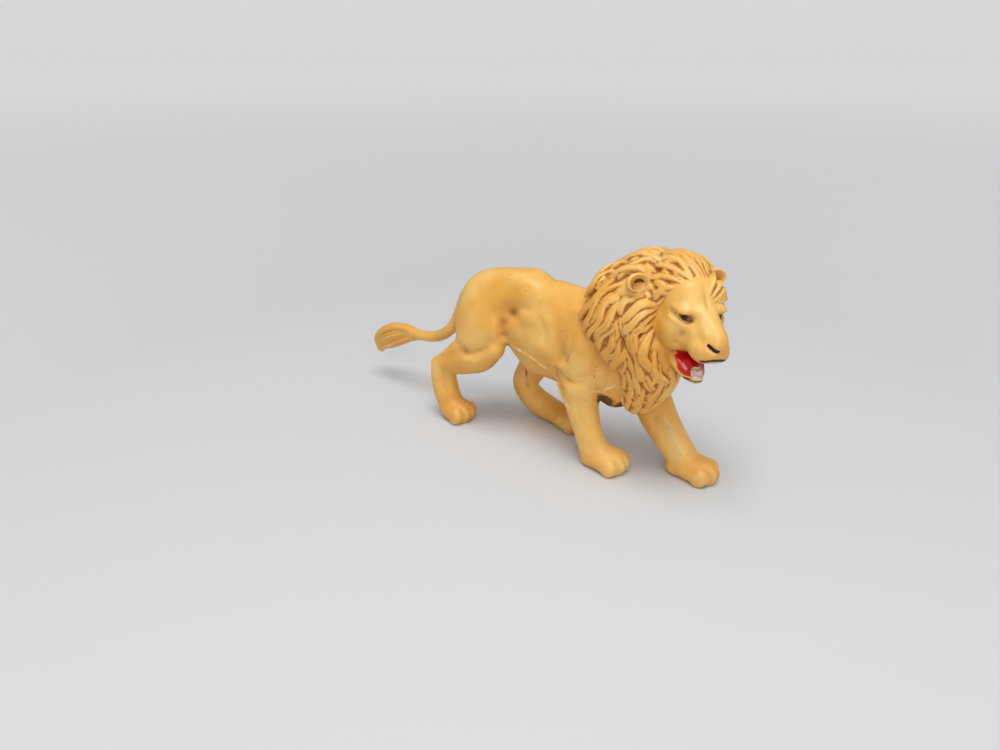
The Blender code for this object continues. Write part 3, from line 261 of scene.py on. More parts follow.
paws = dict(
    # x, y, length and width against the full size
    places=[(-.6, -6.5, .92, .97), (22, 5.8, 1, .97), (38.3, -4.7, 1, 1), (53.8, 3.1, 1.06, 1)],
    length=10.4, width=7.6, height=5.0, toes=[-.36, -.13, .13, .36], slits=[-.25, 0, .25],
    # paws with x past this are the forepaws, which have a heel
    foreFrom=30,
)
skinShape = dict(
    voxel=.30, relaxRounds=12,
    # centre, size, height
    spots=[((14.9, -6.2, 28.6), (1.7, 3, 2.0), -1.3), ((17.6, -5.8, 30.3), (2.4, 3, 1.2), -.7),
           ((15.5, -3.6, 35.4), (3.2, 2.2, 2.5), .85), ((15.5, 3.6, 35.4), (3.2, 2.2, 2.5), 1.1),
           ((7, -6.6, 27), (4.5, 4, 5), .55), ((22.5, -6, 29.6), (3.4, 3, 1.6), .2),
           ((22, -7, 23.0), (4.5, 3, 2.6), .45), ((26.5, -7, 26.2), (1.6, 3, 3.8), -.35),
           ((29.0, -7.4, 23.4), (1.5, 3, 1.8), -.8), ((32.6, -8, 25.8), (2.8, 3, 4.2), .7),
           ((37.5, -7, 24.6), (2.0, 3, 3.4), -.5), ((11.6, -7, 24.4), (1.3, 3, 2.6), .5),
           ((14.9, 6.2, 28.6), (1.7, 3, 2.0), -1.0), ((32.6, 8, 25.8), (2.8, 3, 4.2), .6),
           ((29.2, 7.4, 23.4), (1.5, 3, 1.8), -.7), ((7, 6.6, 27), (4.5, 4, 5), .5),
           ((22, 7, 23.0), (4.5, 3, 2.6), .4), ((34.6, -5.6, 21.6), (1.6, 2, 1.2), .45),
           ((-5.2, -7.6, 10.6), (1.2, 2, 2.8), .3), ((5.0, -8.6, 17.0), (3.4, 2, 1.4), .4),
           ((45.5, 1.6, 12.4), (2.2, 1.6, 3.2), .35), ((18.8, -2.6, 17.2), (3.2, 2.6, 2.2), 1.1),
           ((38.2, -2.4, 15.0), (2.6, 2.4, 2.2), 1.3), ((13.8, -6.0, 28.2), (2.1, 2, 1.9), -.6),
           ((45.8, .9, 11.4), (1.1, 1.2, 1.4), -.75), ((-.6, -8.8, 11.6), (1.5, 1.5, 1.6), -.4),
           ((31.6, -8.2, 17.2), (2.2, 1.6, 1.8), .35), ((34.2, -7.6, 12.4), (1.3, 1.6, 2.6), .3)],
    # path, width, height
    lines=[([(14.4, -6.6, 28.2), (13.4, -6.6, 26.4), (13.1, -6.4, 24.2), (13.5, -5.8, 21.6)], 1.25, -.62),
           ([(1.4, -9.4, 18.8), (4.2, -9.4, 18.6), (6.8, -9.4, 19.0), (9.6, -9.2, 20.4), (12.2, -8.2, 22.6)],
            1.2, -.75),
           ([(26.8, -7.2, 20.2), (29, -8.6, 19.0), (31.2, -8.6, 18.8), (34, -8.6, 19.8), (37.6, -7.8, 21.6)],
            .9, -.42),
           ([(25.0, -6.6, 20.2), (28, -8, 20.8), (31.0, -8.6, 22.2)], .6, .5),
           ([(-4.0, -9.2, 13.6), (-2.6, -9.2, 12.3), (-1.9, -9.2, 10), (-1.9, -9.2, 6.4)], 1.0, -.55),
           ([(16.2, -6, 30.6), (19.4, -6, 31.6), (23.4, -6, 31.0), (26.6, -6, 28.6)], 1.3, -.22),
           ([(16, -6.6, 25.8), (20.6, -6.8, 26.4), (25, -7, 24.8)], 1.3, -.18),
           ([(12.4, 3, 14.4), (12, 3.1, 11.8), (12.2, 3.2, 9.2), (13.2, 3.3, 7)], .6, -.5),
           ([(31.6, -7.4, 29.2), (31.2, -8.2, 26), (30.2, -8.2, 22.8), (29.6, -7.6, 20.2)], .8, -.42),
           ([(29.6, -8, 19.4), (31.8, -8.6, 18.4), (34.2, -8.4, 18.6), (35.8, -7.2, 19.6)], .7, -.36),
           ([(35.2, -7.8, 24.0), (35.4, -7.8, 20.8), (35, -7.6, 17.4), (35.4, -7, 13.6)], .8, .3),
           ([(33.0, -8.2, 15.8), (33.4, -8, 12.8), (34.4, -7.6, 9.4)], .7, -.32),
           ([(20.4, -6.4, 30.6), (22.8, -6.8, 28.6), (24.2, -7, 26.0), (24.4, -6.8, 22.6)], .8, -.3)],
    # the mould's flash line, from the groin along the lower flank and down behind the foreleg
    flash=[(13.4, -4.8, 21.6), (15.3, -5.0, 21.0), (17.8, -5.6, 20.6), (20.5, -6.1, 20.2),
           (22.5, -6.0, 19.4),
           (24.3, -6.0, 18.7), (25.9, -5.9, 17.8), (27.6, -6.8, 17.0), (28.4, -7.2, 15.6),
           (29.3, -7.2, 14.4),
           (30.3, -7.6, 13.3), (31.4, -7.8, 12.2)],
    bridge=[(34.6, -6.9, 16.6), (35.6, -6.6, 16.9), (36.7, -5.3, 17), (38.2, -5.4, 17.9), (40, -5.5, 19.2)],
    burrs=[(26.9, -6.2, 17.4), (27.9, -7, 16.5), (28.6, -7.2, 15.1), (29.5, -7.3, 14), (30.6, -7.7, 12.9)],
    # soft lumps and dents all over: how many, their sizes and their heights
    lumpCount=110, lumpSizes=(.8, 2.6), lumpHeights=(-.13, .13),
    hocks=[(-5.9, -6.4, 12.4), (8.7, 5.7, 7.4)], hockSize=(1.8, 1.8, 1.6),
    # width and height of each
    flashRidge=(.3, .62), bridgeRidge=(.3, .3), burrSize=(.36, .4),
)


def pawParts(x, y, longShare, wideShare):
    # pad, four toes and a forepaw's heel; they reach below z = 0, where the sole is pressed flat
    long, wide, tall = paws["length"] * longShare / 2, paws["width"] * wideShare / 2, paws["height"]
    parts = [lump((x + .08 * long, y, .44 * tall), (.93 * long, .56 * tall, .93 * wide))]
    if x > paws["foreFrom"]:
        parts.append(lump((x - .52 * long, y, .3 * tall), (.52 * long, .36 * tall, .78 * wide)))
    for toe in paws["toes"]:
        place = (x + long * (.66 - 1.5 * toe**2), y + 2 * wide * toe, .35 * tall)
        parts.append(lump(place, (.36 * long, .43 * tall, .34 * wide), (1, 0, -.25)))
    return parts


def toeSlits(x, y, longShare, wideShare):
    # grooves between the toes, from the top of the paw over its front to the sole
    long, wide, tall = paws["length"] * longShare / 2, paws["width"] * wideShare / 2, paws["height"]
    lines = []
    for slit in paws["slits"]:
        front = x + long * (1.04 - 1.6 * slit**2)
        side = y + 2 * wide * slit
        lines.append(([(front - .34 * long, side, .8 * tall), (front - .12 * long, side, .6 * tall),
                       (front, side, .3 * tall), (front, side, -.3 * tall)], .3, -.42))
    return lines


def buildBody():
    x, top, bottom, wide = np.array(trunk["rows"]).T
    rows = np.column_stack([x, 0 * x, (top + bottom) / 2, (top - bottom) / 2, wide])
    parts = [loft(rows, 40, 32, cap=.5)]
    parts += [loft(limb, 26, 24) for limb in limbs.values()]
    parts += [lump(place, skinShape["hockSize"], (1, 0, -.6)) for place in skinShape["hocks"]]
    for place in paws["places"]:
        parts += pawParts(*place)
    body = makePiece("body_skin", parts)
    fuse(body, skinShape["voxel"])
    relax(body, skinShape["relaxRounds"])
    swell(body, skinShape["spots"])
    carve(body, skinShape["lines"] + [line for place in paws["places"] for line in toeSlits(*place)])
    relax(body, 2)
    # soft plastic is never quite even: small lumps and dents all over
    places = readPoints(body)[randomDraw.integers(0, len(body.data.vertices), skinShape["lumpCount"])]
    sizes, heights = skinShape["lumpSizes"], skinShape["lumpHeights"]
    swell(body, [(place, randomDraw.uniform(*sizes), randomDraw.uniform(*heights)) for place in places])
    carve(body, [(skinShape[word], *skinShape[word + "Ridge"]) for word in ("flash", "bridge")])
    swell(body, [(place, *skinShape["burrSize"]) for place in skinShape["burrs"]])
    points = readPoints(body)
    points[:, 2] = np.maximum(points[:, 2], 0)
    writePoints(body, points)
    return body


print("body")
body = buildBody()


# tail

tailShape = dict(
    shaft=[(-.6, 0, 28.6, 1.85, 1.75), (-2.2, 0, 27, 1.8, 1.7), (-4.4, 0, 22.9, 1.6, 1.5),
           (-6.6, 0, 19.4, 1.45, 1.4), (-9.8, 0, 16.6, 1.35, 1.35), (-13.5, 0, 15.1, 1.3, 1.3),
           (-17, 0, 14.6, 1.3, 1.3), (-20, 0, 14.4, 1.6, 1.45)],
    tuft=[(-18.4, 0, 14.4, 1.35, 1.3), (-21, 0, 14.2, 2.1, 1.8), (-24, 0, 13.5, 2.8, 2.1),
          (-27, 0, 12.4, 3.1, 2.2), (-30, 0, 10.9, 2.9, 1.9), (-32, 0, 9.8, 2.4, 1.4),
          (-33.2, 0, 9.1, 1.6, .8)],
    tip=(-31.8, 0, 8.5),
    fan=[-1.6, -.5, .7, 1.8],
    # width and height of a groove
    groove=(.5, -.62), voxel=.2, relaxRounds=5,
)


def buildTail():
    tip = lump(tailShape["tip"], (2.0, 1.5, .9), (-.4, 0, -1))
    tail = makePiece("tail_skin", [loft(tailShape["shaft"], 44, 28), loft(tailShape["tuft"], 36, 36), tip])
    fuse(tail, tailShape["voxel"])
    relax(tail, tailShape["relaxRounds"])
    lines = []
    for side in (-1, 1):
        for lift in tailShape["fan"]:
            path = [(-19.5, side * 1.5, 14.4 + .25 * lift), (-23, side * 1.95, 13.7 + .75 * lift),
                    (-27, side * 2.1, 12.2 + 1.02 * lift), (-30.6, side * 1.7, 10 + .95 * lift),
                    (-33, side * 1, 8 + .6 * lift)]
            lines.append((path, *tailShape["groove"]))
    carve(tail, lines)
    relax(tail, 1)
    return tail


print("tail")
tail = buildTail()


# face, in the head's own frame: forward, left, up

headShape = dict(turn=-35, nod=3.5, tilt=-4, scale=.93, place=(54.0, -2.5, 36.3), voxel=.22, wholeVoxel=.17)
skull = dict(
    # forward, left, up, half sizes forward, up, left
    lumps=[(-8.2, 0, .4, 7.6, 7.8, 7.0), (-2.9, 0, .4, 4.8, 6.2, 6.1), (-6.2, 3.0, -3.1, 5.0, 5.6, 4.5),
           (-2.4, 3.4, -3.9, 5, 4.6, 3.2), (.2, 2.9, .8, 2.6, 1.4, 2.4), (5.4, 1.45, -5.3, 3.9, 2.6, 2.3),
           (-4.4, 3.7, -7.5, 3.0, 2.9, 2.5)],
    muzzle=[(-3, 0, -3.4, 5.4, 4.8), (1, 0, -3.4, 4.5, 4.2), (4, 0, -3.9, 4.0, 3.5),
            (6.5, .1, -4.5, 3.4, 3.0),
            (8.0, .3, -4.9, 2.7, 2.4)],
    bridge=[(-1.5, 0, .9, 3.0, 3.0), (2, 0, -.2, 2.4, 2.5), (5, .1, -1.5, 2.0, 2.1),
            (8.1, .35, -2.9, 1.7, 1.9)],
)
jaw = dict(
    rows=[(-4, 0, -9.4, 2.4, 4.2), (-.7, 0, -10.5, 1.9, 3.7), (1.3, 0, -11.5, 1.6, 3.0),
          (2.9, 0, -12.1, 1.35, 2.2),
          (3.9, 0, -12.2, 1.1, 1.4)],
    tongue=(1.0, 0, -9.9, 2.7, 1.1, 1.7),
)
teeth = dict(
    # along a shallow arc: f = front - curve k^2 and l = spread k, with k from -1 to 1
    count=6, front=3.8, curve=.9, spread=1.35, root=-11.8, height=1.25, lean=.25,
    rootSize=(.42, .36), tipSize=(.3, .26),
)
eye = dict(place=(.75, 3.05, -.75), radius=1.35)
ear = dict(
    # right and left: share along the mane's guide, degrees from its top; how far out; where it opens
    shares=(.45, .29), degrees=(-52, 65), stand=.9, axis=(.90, .08, .40),
    backRim=.5, slide=.8, long=1.12, tall=.88,
    # where the painted shade in each ear's pit is centred, its size and strength
    pit=(-.43, -.55, -.1), pitSize=.95, pitShadeStrength=1.5,
    # no lock comes nearer to an ear's middle than this
    clear=1.45,
    # radius and height along the axis, over the rim and into the bowl
    profile=[(.35, -2.8), (1.2, -2.4), (1.8, -1.3), (2.1, -.1), (2.1, .5), (1.9, .85), (1.6, .6), (1.2, -.5),
             (.7, -1.3), (.2, -1.5)],
)
faceLines = dict(
    spots=[((1.9, 3.2, -.7), (1.5, 1.2, .9), -.8), ((2.9, 1.5, .7), (1.0, .8, .9), .2),
           ((2.2, 4.3, -3.7), (1.3, 1.2, 1.3), -.6), ((9.0, .9, -3.0), (1.0, .8, .7), .25),
           ((1.2, 5.0, -5.6), (1.0, 1.2, 1.6), -.5), ((5.0, 2.9, -3.4), (1.6, 1, .8), -.25),
           ((.9, 1.5, 2.7), (1.2, .8, 1.0), .2), ((3.0, 0, 1.6), (1.0, .5, .9), -.3)],
    lines=[([(-2.1, 5.9, -.9), (-.6, 5.8, -1.1), (.4, 5.5, -1.3), (1.5, 4.4, -1.7),
             (2.3, 3.4, -1.8)], .42, .36),
           ([(-1.4, 5.7, 1.1), (.2, 5.2, .8), (1.5, 4.6, .6), (2.8, 3.3, .2)], .55, .34),
           ([(-1.6, 5.8, .2), (-.3, 5.5, -.1), (.6, 5.1, -.2)], .30, -.3),
           ([(2.0, 4.3, -2.4), (1.8, 4.1, -3.3), (1.4, 4.3, -5.0), (.9, 4.0, -6.8)], .8, -.35),
           ([(-1.6, 0, 4.8), (.4, 0, 3.6), (2, 0, 2.4), (3.4, 0, 1.3)], .5, -.22),
           ([(3.2, 1.7, .3), (5.2, 1.8, -1.0), (7.6, 1.7, -2.7)], .5, .2),
           ([(3.2, 2.8, -1.3), (5.4, 2.8, -2.5), (7.6, 2.5, -3.6)], .6, -.24),
           ([(6.6, 3.1, -4.6), (6.2, 3.2, -5.8), (5.6, 3.2, -6.8)], .5, -.16),
           ([(9.6, .3, -4.3), (9.5, .3, -5.0), (9.1, .3, -6.0)], .26, -.28)],
    nostrils=[[(8.2, -2.1, -3.3), (8.5, -1.5, -3.8), (8.9, -.95, -4.15), (9.2, -.4, -4.2)],
              [(8.9, 1.3, -3.8), (8.5, 1.9, -3.8), (8.2, 2.3, -3.5), (7.9, 2.5, -3.2)]],
    lips=[[(7.7, -2.7, -6.9), (8.3, -2.1, -6.55), (8.9, -1.2, -6.2), (8.9, 0, -6.25)],
          [(8.9, .6, -6.2), (8.8, 1.4, -6.3), (8.2, 2.3, -6.6), (7.7, 2.7, -6.9)]],
)


def headAxes():
    # R = turn about z, then nod about y, then tilt about x
    turn, nod, tilt = [math.radians(headShape[k]) for k in ("turn", "nod", "tilt")]
    turns = Matrix.Rotation(turn, 3, "Z") @ Matrix.Rotation(nod, 3, "Y") @ Matrix.Rotation(tilt, 3, "X")
    return np.array(turns)


def toLion(points):
    # p = scale R q + place
    return np.asarray(points, float) * headShape["scale"] @ headAxes().T + headShape["place"]


def toHead(points):
    # q = R' (p - place) / scale
    return (np.asarray(points) - headShape["place"]) @ headAxes() / headShape["scale"]


def mirrored(point):
    return (point[0], -point[1], point[2])


def bothSides(items):
    # (centre or path, width, height) on the left, and the same on the right
    items = list(items)
    for where, width, height in list(items):
        if isinstance(where[0], tuple):
            items.append(([mirrored(p) for p in where], width, height))
        elif where[1]:
            items.append((mirrored(where), width, height))
    return items


def buildFace():
    parts = [loft(skull["muzzle"], 16, 28, cap=.55), loft(skull["bridge"], 16, 28, cap=.5)]
    for f, l, u, long, tall, wide in skull["lumps"]:
        for side in (-1, 1) if l else (1,):
            parts.append(lump((f, l * side, u), (long, tall, wide)))
    face = makePiece("face_skin", parts)
    fuse(face, headShape["voxel"])
    relax(face, 40)
    swell(face, bothSides(faceLines["spots"]))
    carve(face, bothSides(faceLines["lines"]))
    relax(face, 4)
    carve(face, [(path, .36, -.7) for path in faceLines["nostrils"]])
    return face


def jawParts():
    parts = [loft(jaw["rows"], 18, 28, cap=.8)]
    f, l, u, long, tall, wide = jaw["tongue"]
    parts.append(lump((f, l, u), (long, tall, wide), (1, 0, -.3)))
    for side in (-1, 1):
        f, l, u = eye["place"]
        parts.append(lump((f, l * side, u), (eye["radius"],) * 3))
    for place in np.linspace(-1, 1, teeth["count"]):
        f, l = teeth["front"] - teeth["curve"] * place**2, teeth["spread"] * place
        tip = (f + teeth["lean"], l, teeth["root"] + teeth["height"])
        parts.append(loft([(f, l, teeth["root"], *teeth["rootSize"]), (*tip, *teeth["tipSize"])], 4, 10))
    return parts


def earParts(places):
    parts = []
    for side, centre in zip((-1, 1), toHead(places)):
        axis = unit(np.array(ear["axis"]) * (1, side, 1))
        right = unit(np.cross(axis, (0, 0, 1)))
        up = np.cross(right, axis)
        angle = np.linspace(0, 2 * np.pi, 32, endpoint=False)
        front = unit(np.array((1, 0, 0)) - axis[0] * axis)
        turned = np.cos(angle)[:, None] * right * ear["long"] + np.sin(angle)[:, None] * up * ear["tall"]
        profile = np.array(ear["profile"])
        height = profile[:, 1, None] - ear["backRim"] * (turned @ front) * (profile[:, 0, None] > 1.6)
        inward = ear["slide"] * np.linspace(-1, 1, len(profile)).clip(0) ** .5
        rings = centre + height[..., None] * axis + profile[:, 0, None, None] * turned
        rings = rings + (inward[:, None] * front)[:, None]
        poles = centre + profile[[0, -1], 1, None] * axis + inward[[0, -1], None] * front
        faces = [face[::-1] for face in ringFaces(len(profile), len(angle))]
        parts.append((np.vstack([rings.reshape(-1, 3), poles]), faces))
    return parts


# mane

hairline = tuple(toLion((-3.6, 0, -1.0)))
maneShape = dict(
    front=tuple(toLion((-7.0, 0, -1.2))) + (7.9, 7.0),
    rows=[(48.1, 1.5, 34.6, 9.4, 6.9), (43.2, 1, 32.9, 11, 9.3), (39.8, .8, 30.2, 11, 9.6),
          (37, .3, 27.3, 9.6, 8.8)],
    guide=[(56.6, -4.2, 36.6, 3.6, 4.2), hairline + (7.8, 6.8), (47.5, .6, 34.6, 9.7, 7.6),
           (43.2, 1, 32.9, 11, 9.3), (39.8, .8, 30.2, 11, 9.6), (37, .3, 27.3, 9.6, 8.8),
           (35.2, 0, 25.4, 8.4, 7.8)],
    bib=[(44.6, -1.2, 28.5, 6.2, 7.2), (45.1, -1.9, 23.4, 5.4, 5.9), (44.7, -2.4, 19.6, 4.1, 4.6),
         (44, -2.8, 16.8, 2.6, 3.5), (43.2, -3.2, 14.3, 1.2, 1.9)],
    voxel=.35, hairVoxel=.21,
    # near the top the locks wave this much more
    crownReach=30, crownWave=1.7,
)
# where each lock starts, passes and ends on the guide: share along it, degrees from the top; then width
crownLocks = [
    (.10, 7, .32, 6, .60, 1, 1.7), (.12, -3, .34, -4, .62, -6, 1.6), (.10, -12, .34, -12, .60, -19, 1.8),
    (.13, -20, .40, -18, .63, -34, 1.8), (.14, -27, .42, -31, .62, -42, 1.9),
    (.16, -33, .34, -38, .50, -40, 1.8),
    (.17, -39, .28, -42, .38, -44, 1.7), (.19, -44, .29, -48, .38, -51, 1.7),
    (.21, -50, .30, -56, .38, -59, 1.6),
]
sideLocks = [
    (.22, -52, .36, -64, .60, -78, 1.7), (.25, -57, .40, -77, .61, -80, 1.8),
    (.31, -74, .50, -89, .64, -90, 2.0),
    (.33, -84, .53, -97, .70, -109, 1.9), (.35, -94, .56, -103, .69, -121, 2.3),
    (.36, -103, .53, -113, .64, -139, 3.0),
    (.36, -121, .47, -133, .58, -143, 1.6), (.58, -4, .70, -18, .82, -36, 2.0),
    (.60, -25, .70, -25, .80, -36, 1.8),
    (.57, -38, .70, -47, .96, -50, 2.2), (.56, -47, .70, -53, .96, -62, 2.2),
    (.59, -54, .73, -60, .97, -69, 2.0),
    (.58, -57, .70, -64, .95, -79, 1.9), (.54, -65, .67, -73, .90, -88, 2.2),
    (.60, -80, .73, -85, .93, -93, 2.0),
    (.63, -88, .76, -93, .94, -99, 2.0), (.66, -96, .79, -101, .95, -107, 2.1),
    (.68, -106, .82, -112, .96, -124, 3.0),
    (.64, -116, .74, -127, .82, -142, 2.6),
]
# thinner ones over the far temple
templeLocks = [(.05, 14, .12, 30, .25, 46, 1.2), (.045, 26, .11, 43, .23, 58, 1.1),
               (.04, 38, .10, 54, .22, 67, 1.2),
               (.045, 50, .11, 64, .23, 76, 1.1), (.05, 60, .12, 74, .25, 86, 1.2)]
lockShape = dict(
    stations=[0, .15, .45, .78, .93, 1], width=[.20, .66, 1, .92, .72, .3],
    height=[.25, .7, 1, .95, .75, .3],
    tall=.56, lift=[-.30, .05, .45, .60, .40, .15], rings=20, sides=18,
)
hairlineAt = dict(angle=[0, 20, 40, 60, 80, 100, 150], share=[.10, .12, .19, .26, .33, .36, .38])
# how far behind the hairline each row starts, its length and how many locks it has
fillLocks = dict(rows=[(.06, .32, 13), (.18, .32, 13), (.30, .32, 13), (.42, .32, 13), (.54, .30, 12),
                       (.68, .28, 11)],
                 width=2.2, reach=128, lift=-.42)
bibLocks = dict(rows=[(.05, .44, 12), (.22, .46, 11), (.40, .46, 10), (.58, .40, 8)], width=1.9, lift=-.1)


class Tube:
    # guide surface P(s, a) = C(s) - A(s) cos a up + B(s) sin a side, a from the top towards the left
    def __init__(self, rows, count=80):
        table = smoothRows(rows, count)
        ahead, side, up = pathFrame(table[:, :3], (0, 1, 0))
        self.share = np.linspace(0, 1, count)
        self.table = np.hstack([table, side, up])

    def axis(self, share):
        return np.stack([np.interp(share, self.share, column) for column in self.table[:, :3].T], -1)

    def at(self, share, angle):
        t = np.stack([np.interp(share, self.share, column) for column in self.table.T], -1)
        turned = np.radians(angle)
        return (t[:, :3] - (t[:, 3] * np.cos(turned))[:, None] * t[:, 8:11]
                + (t[:, 4] * np.sin(turned))[:, None] * t[:, 5:8])


def fromOutside(skin, axis, points):
    # where a straight line from far outside towards the axis first meets the skin
    places, normals = [], []
    for centre, point in zip(axis, points):
        out = unit(point - centre)
        place, normal = skin.ray_cast(Vector(centre + out * 20), Vector(-out))[:2]
        places.append(place if place else point)
        normals.append(normal if place else out)
    return np.array(places), np.array(normals)


def makeLock(tube, skin, path, width, lift=0.0, wave=0.0, phase=0.0, strands=2.5, tilt=.42):
    # crested leaf carried along its path: half section (sin b, cos b) with strands cos(pi n sin b);
    # its lower edge stands over the next lock by tilt sin b
    share = np.linspace(0, 1, 9)
    way = smoothRows([(s * 60, a * .2, 0) for s, a in path], 9)
    angle = way[:, 1] / .2 + wave * np.sin(2 * np.pi * (share + phase)) * np.minimum(1, 2 * share)
    points, normals = fromOutside(skin, tube.axis(way[:, 0] / 60), tube.at(way[:, 0] / 60, angle))
    for _ in range(2):
        normals[1:-1] = unit(normals[:-2] + 2 * normals[1:-1] + normals[2:])
    stations = lockShape["stations"]
    points = points + normals * (np.interp(share, stations, lockShape["lift"]) + lift)[:, None]
    fine = np.linspace(0, 1, lockShape["rings"])
    centres = smoothRows(points, len(fine))
    normals = unit(np.stack([np.interp(fine, share, column) for column in normals.T], -1))
    ahead = unit(np.gradient(centres, axis=0))
    side = unit(np.cross(normals, ahead))
    up = np.cross(ahead, side)
    wide = width / 2 * np.interp(fine, stations, lockShape["width"])
    tall = lockShape["tall"] * width**.5 * np.interp(fine, stations, lockShape["height"])
    angle = np.linspace(0, 2 * np.pi, lockShape["sides"], endpoint=False)
    u, v = np.sin(angle), np.cos(angle)
    strand = np.cos(np.pi * strands * u + .6 * np.sin(3 * fine)[:, None])
    crest = np.where(v > 0, v * (.84 + .16 * strand), v * 1.4)
    crest = crest - np.sign(way[:, 1].sum() or 1) * tilt * u
    rings = centres[:, None] + (wide[:, None] * u)[..., None] * side[:, None]
    rings = rings + (tall[:, None] * crest)[..., None] * up[:, None]
    poles = np.stack([centres[0] - ahead[0] * .1, centres[-1] + ahead[-1] * .15])
    return np.vstack([rings.reshape(-1, 3), poles]), ringFaces(len(fine), len(angle))


def clearOfEars(points, ears):
    return np.linalg.norm(points[:, None] - ears, axis=2).min() > ear["clear"]


def buildMane(face):
    crown = loft([maneShape["front"]] + maneShape["rows"], 24, 36, cap=.35)
    core = makePiece("mane_core", [crown, loft(maneShape["bib"], 18, 28, cap=.5)])
    fuse(core, maneShape["voxel"])
    relax(core, 10)
    whole = makePiece("mane_base", [
        (readPoints(core), readFaces(core)),
        (toLion(readPoints(face)), readFaces(face))])
    fuse(whole, maneShape["voxel"])
    relax(whole, 6)
    skin = BVHTree.FromObject(whole, bpy.context.evaluated_depsgraph_get())
    bpy.data.objects.remove(whole)
    tube = Tube(maneShape["guide"])
    bib = Tube(maneShape["bib"])
    spots = np.array(ear["shares"]), np.array(ear["degrees"])
    ears, out = fromOutside(skin, tube.axis(spots[0]), tube.at(*spots))
    ears = ears + out * ear["stand"]
    locks = []
    for start, length, count in fillLocks["rows"]:
        for number in range(count):
            a = fillLocks["reach"] * (2 * (number + randomDraw.uniform(.2, .8)) / count - 1)
            low = np.clip((abs(a) - 80) / 45, 0, 1)
            drift = np.sign(a) * (np.clip((abs(a) - 20) / 60, 0, 1) * 16 + 26 * low)
            edge = np.interp(abs(a), hairlineAt["angle"], hairlineAt["share"])
            s = edge + start + randomDraw.uniform(-.02, .03)
            length = min(length, 1.02 - s) * (1 - .55 * low)
            path = [(s, a), (s + .5 * length, a + .4 * drift), (s + length, a + drift)]
            locks.append(makeLock(tube, skin, path, fillLocks["width"] * randomDraw.uniform(.8, 1.2),
                                  fillLocks["lift"], randomDraw.uniform(2, 4), randomDraw.uniform(0, 1), 2.2))
    for s0, a0, s1, a1, s2, a2, width in crownLocks + sideLocks:
        more = maneShape["crownWave"] if abs(a0) < maneShape["crownReach"] else 1
        for side in (1, -1):
            path = [(s0, a0 * side), (s1, a1 * side), (s2, a2 * side)]
            strands = 1.5 if width < 1.75 else 2.5 if width < 2.4 else 3.5
            locks.append(makeLock(tube, skin, path, width, randomDraw.uniform(0, .3),
                                  randomDraw.uniform(3, 5) * more,
                                  randomDraw.uniform(0, 1), strands))
    for s0, a0, s1, a1, s2, a2, width in templeLocks:
        locks.append(makeLock(tube, skin, [(s0, a0), (s1, a1), (s2, a2)], width, -.1, 3, .2, 1.5))
    for row, (start, length, count) in enumerate(bibLocks["rows"]):
        for number in range(count):
            a = -180 + 360 * (number + .5 * (row % 2) + randomDraw.uniform(-.2, .2)) / count
            s = start + randomDraw.uniform(-.03, .03)
            path = [(s, a), (s + .5 * length, a + randomDraw.uniform(-6, 6)), (min(s + length, 1), a)]
            made = makeLock(bib, skin, path, bibLocks["width"] * randomDraw.uniform(.75, 1.25),
                            bibLocks["lift"], randomDraw.uniform(4, 8), randomDraw.uniform(0, 1), 2.2)
            f, l, u = toHead(made[0]).T
            if not ((f > -.5) & (u > -12.2)).any():
                locks.append(made)
    kept = [lock for lock in locks if clearOfEars(lock[0], ears)]
    mane = makePiece("mane_hair", kept + [(readPoints(core), readFaces(core))])
    bpy.data.objects.remove(core)
    fuse(mane, maneShape["hairVoxel"])
    relax(mane, 1, .6)
    print("locks", len(kept), "of", len(locks), "faces", len(mane.data.polygons))
    return mane, ears


print("face")
face = buildFace()
print("mane")
mane, ears = buildMane(face)
head = makePiece("head_face", [(toLion(readPoints(face)), readFaces(face))]
                 + [(toLion(points), faces) for points, faces in jawParts() + earParts(ears)])
bpy.data.objects.remove(face)
fuse(head, headShape["wholeVoxel"])
relax(head, 2)


# paint, read by each finish as shares from 0 to 1

paint = dict(
    mouth=dict(floor=-9.0, roof=-6.6, back=-2.6, front=7.4, wide=3.0, roofWide=2.3, jawFront=3.7, gum=-11.9,
               wallFront=3.2, wallWide=2.4, wallLow=-11.3, wallHigh=-7.4),
    tooth=dict(front=3.1, wide=1.35, gum=-12.3, tip=-10.0),
    lowerLip=dict(front=2.6, top=-12.1, low=-12.7, strength=.8),
    almond=dict(centre=(1.75, 3.7, -.5), along=(.37, -.86, -.35), across=(.12, -.32, .94),
                long=1.55, tall=.66, reach=2.4, pupil=.55, shift=-.3),
    # half widths of the painted lines
    nostril=.33, lip=.40, flash=.34, scarWidth=.45,
    scar=[(47.5, 1.4, 12), (48.7, 1.4, 10.1), (50.2, 1.1, 7.7), (52, .7, 5.3)],
    # centre, size and strength of the painted shade, in brown, in the hollows under the chest, at the groin
    # and between the legs
    hollowShades=[((37.2, -3.9, 15.2), (2.6, 1.7, 2.1), 1.3), ((39.8, -2.6, 14.6), (2.2, 1.7, 2.0), 1.3),
            ((12.8, -4.2, 20.3), (.9, 1.2, .8), .75), ((12.2, 3, 11), (.8, .8, 3.4), .8),
            ((45.6, .7, 11.3), (.8, .9, 1.1), .8)],
)


def soft(value, width=.25):
    # 0 below, 1 above, over that width
    return np.clip(.5 + value / width, 0, 1)


def hollows(piece, rounds, depth, extra=0):
    # how far the skin lies under its own smoothed copy, h = (mean - p) . n, as a share of depth
    points, normals = readPoints(piece), readPoints(piece, "normal")
    relax(piece, rounds)
    below = ((readPoints(piece) - points) * normals).sum(1) / depth
    writePoints(piece, points)
    mark(piece, "hollow", np.clip(.5 + below + extra, 0, 1))


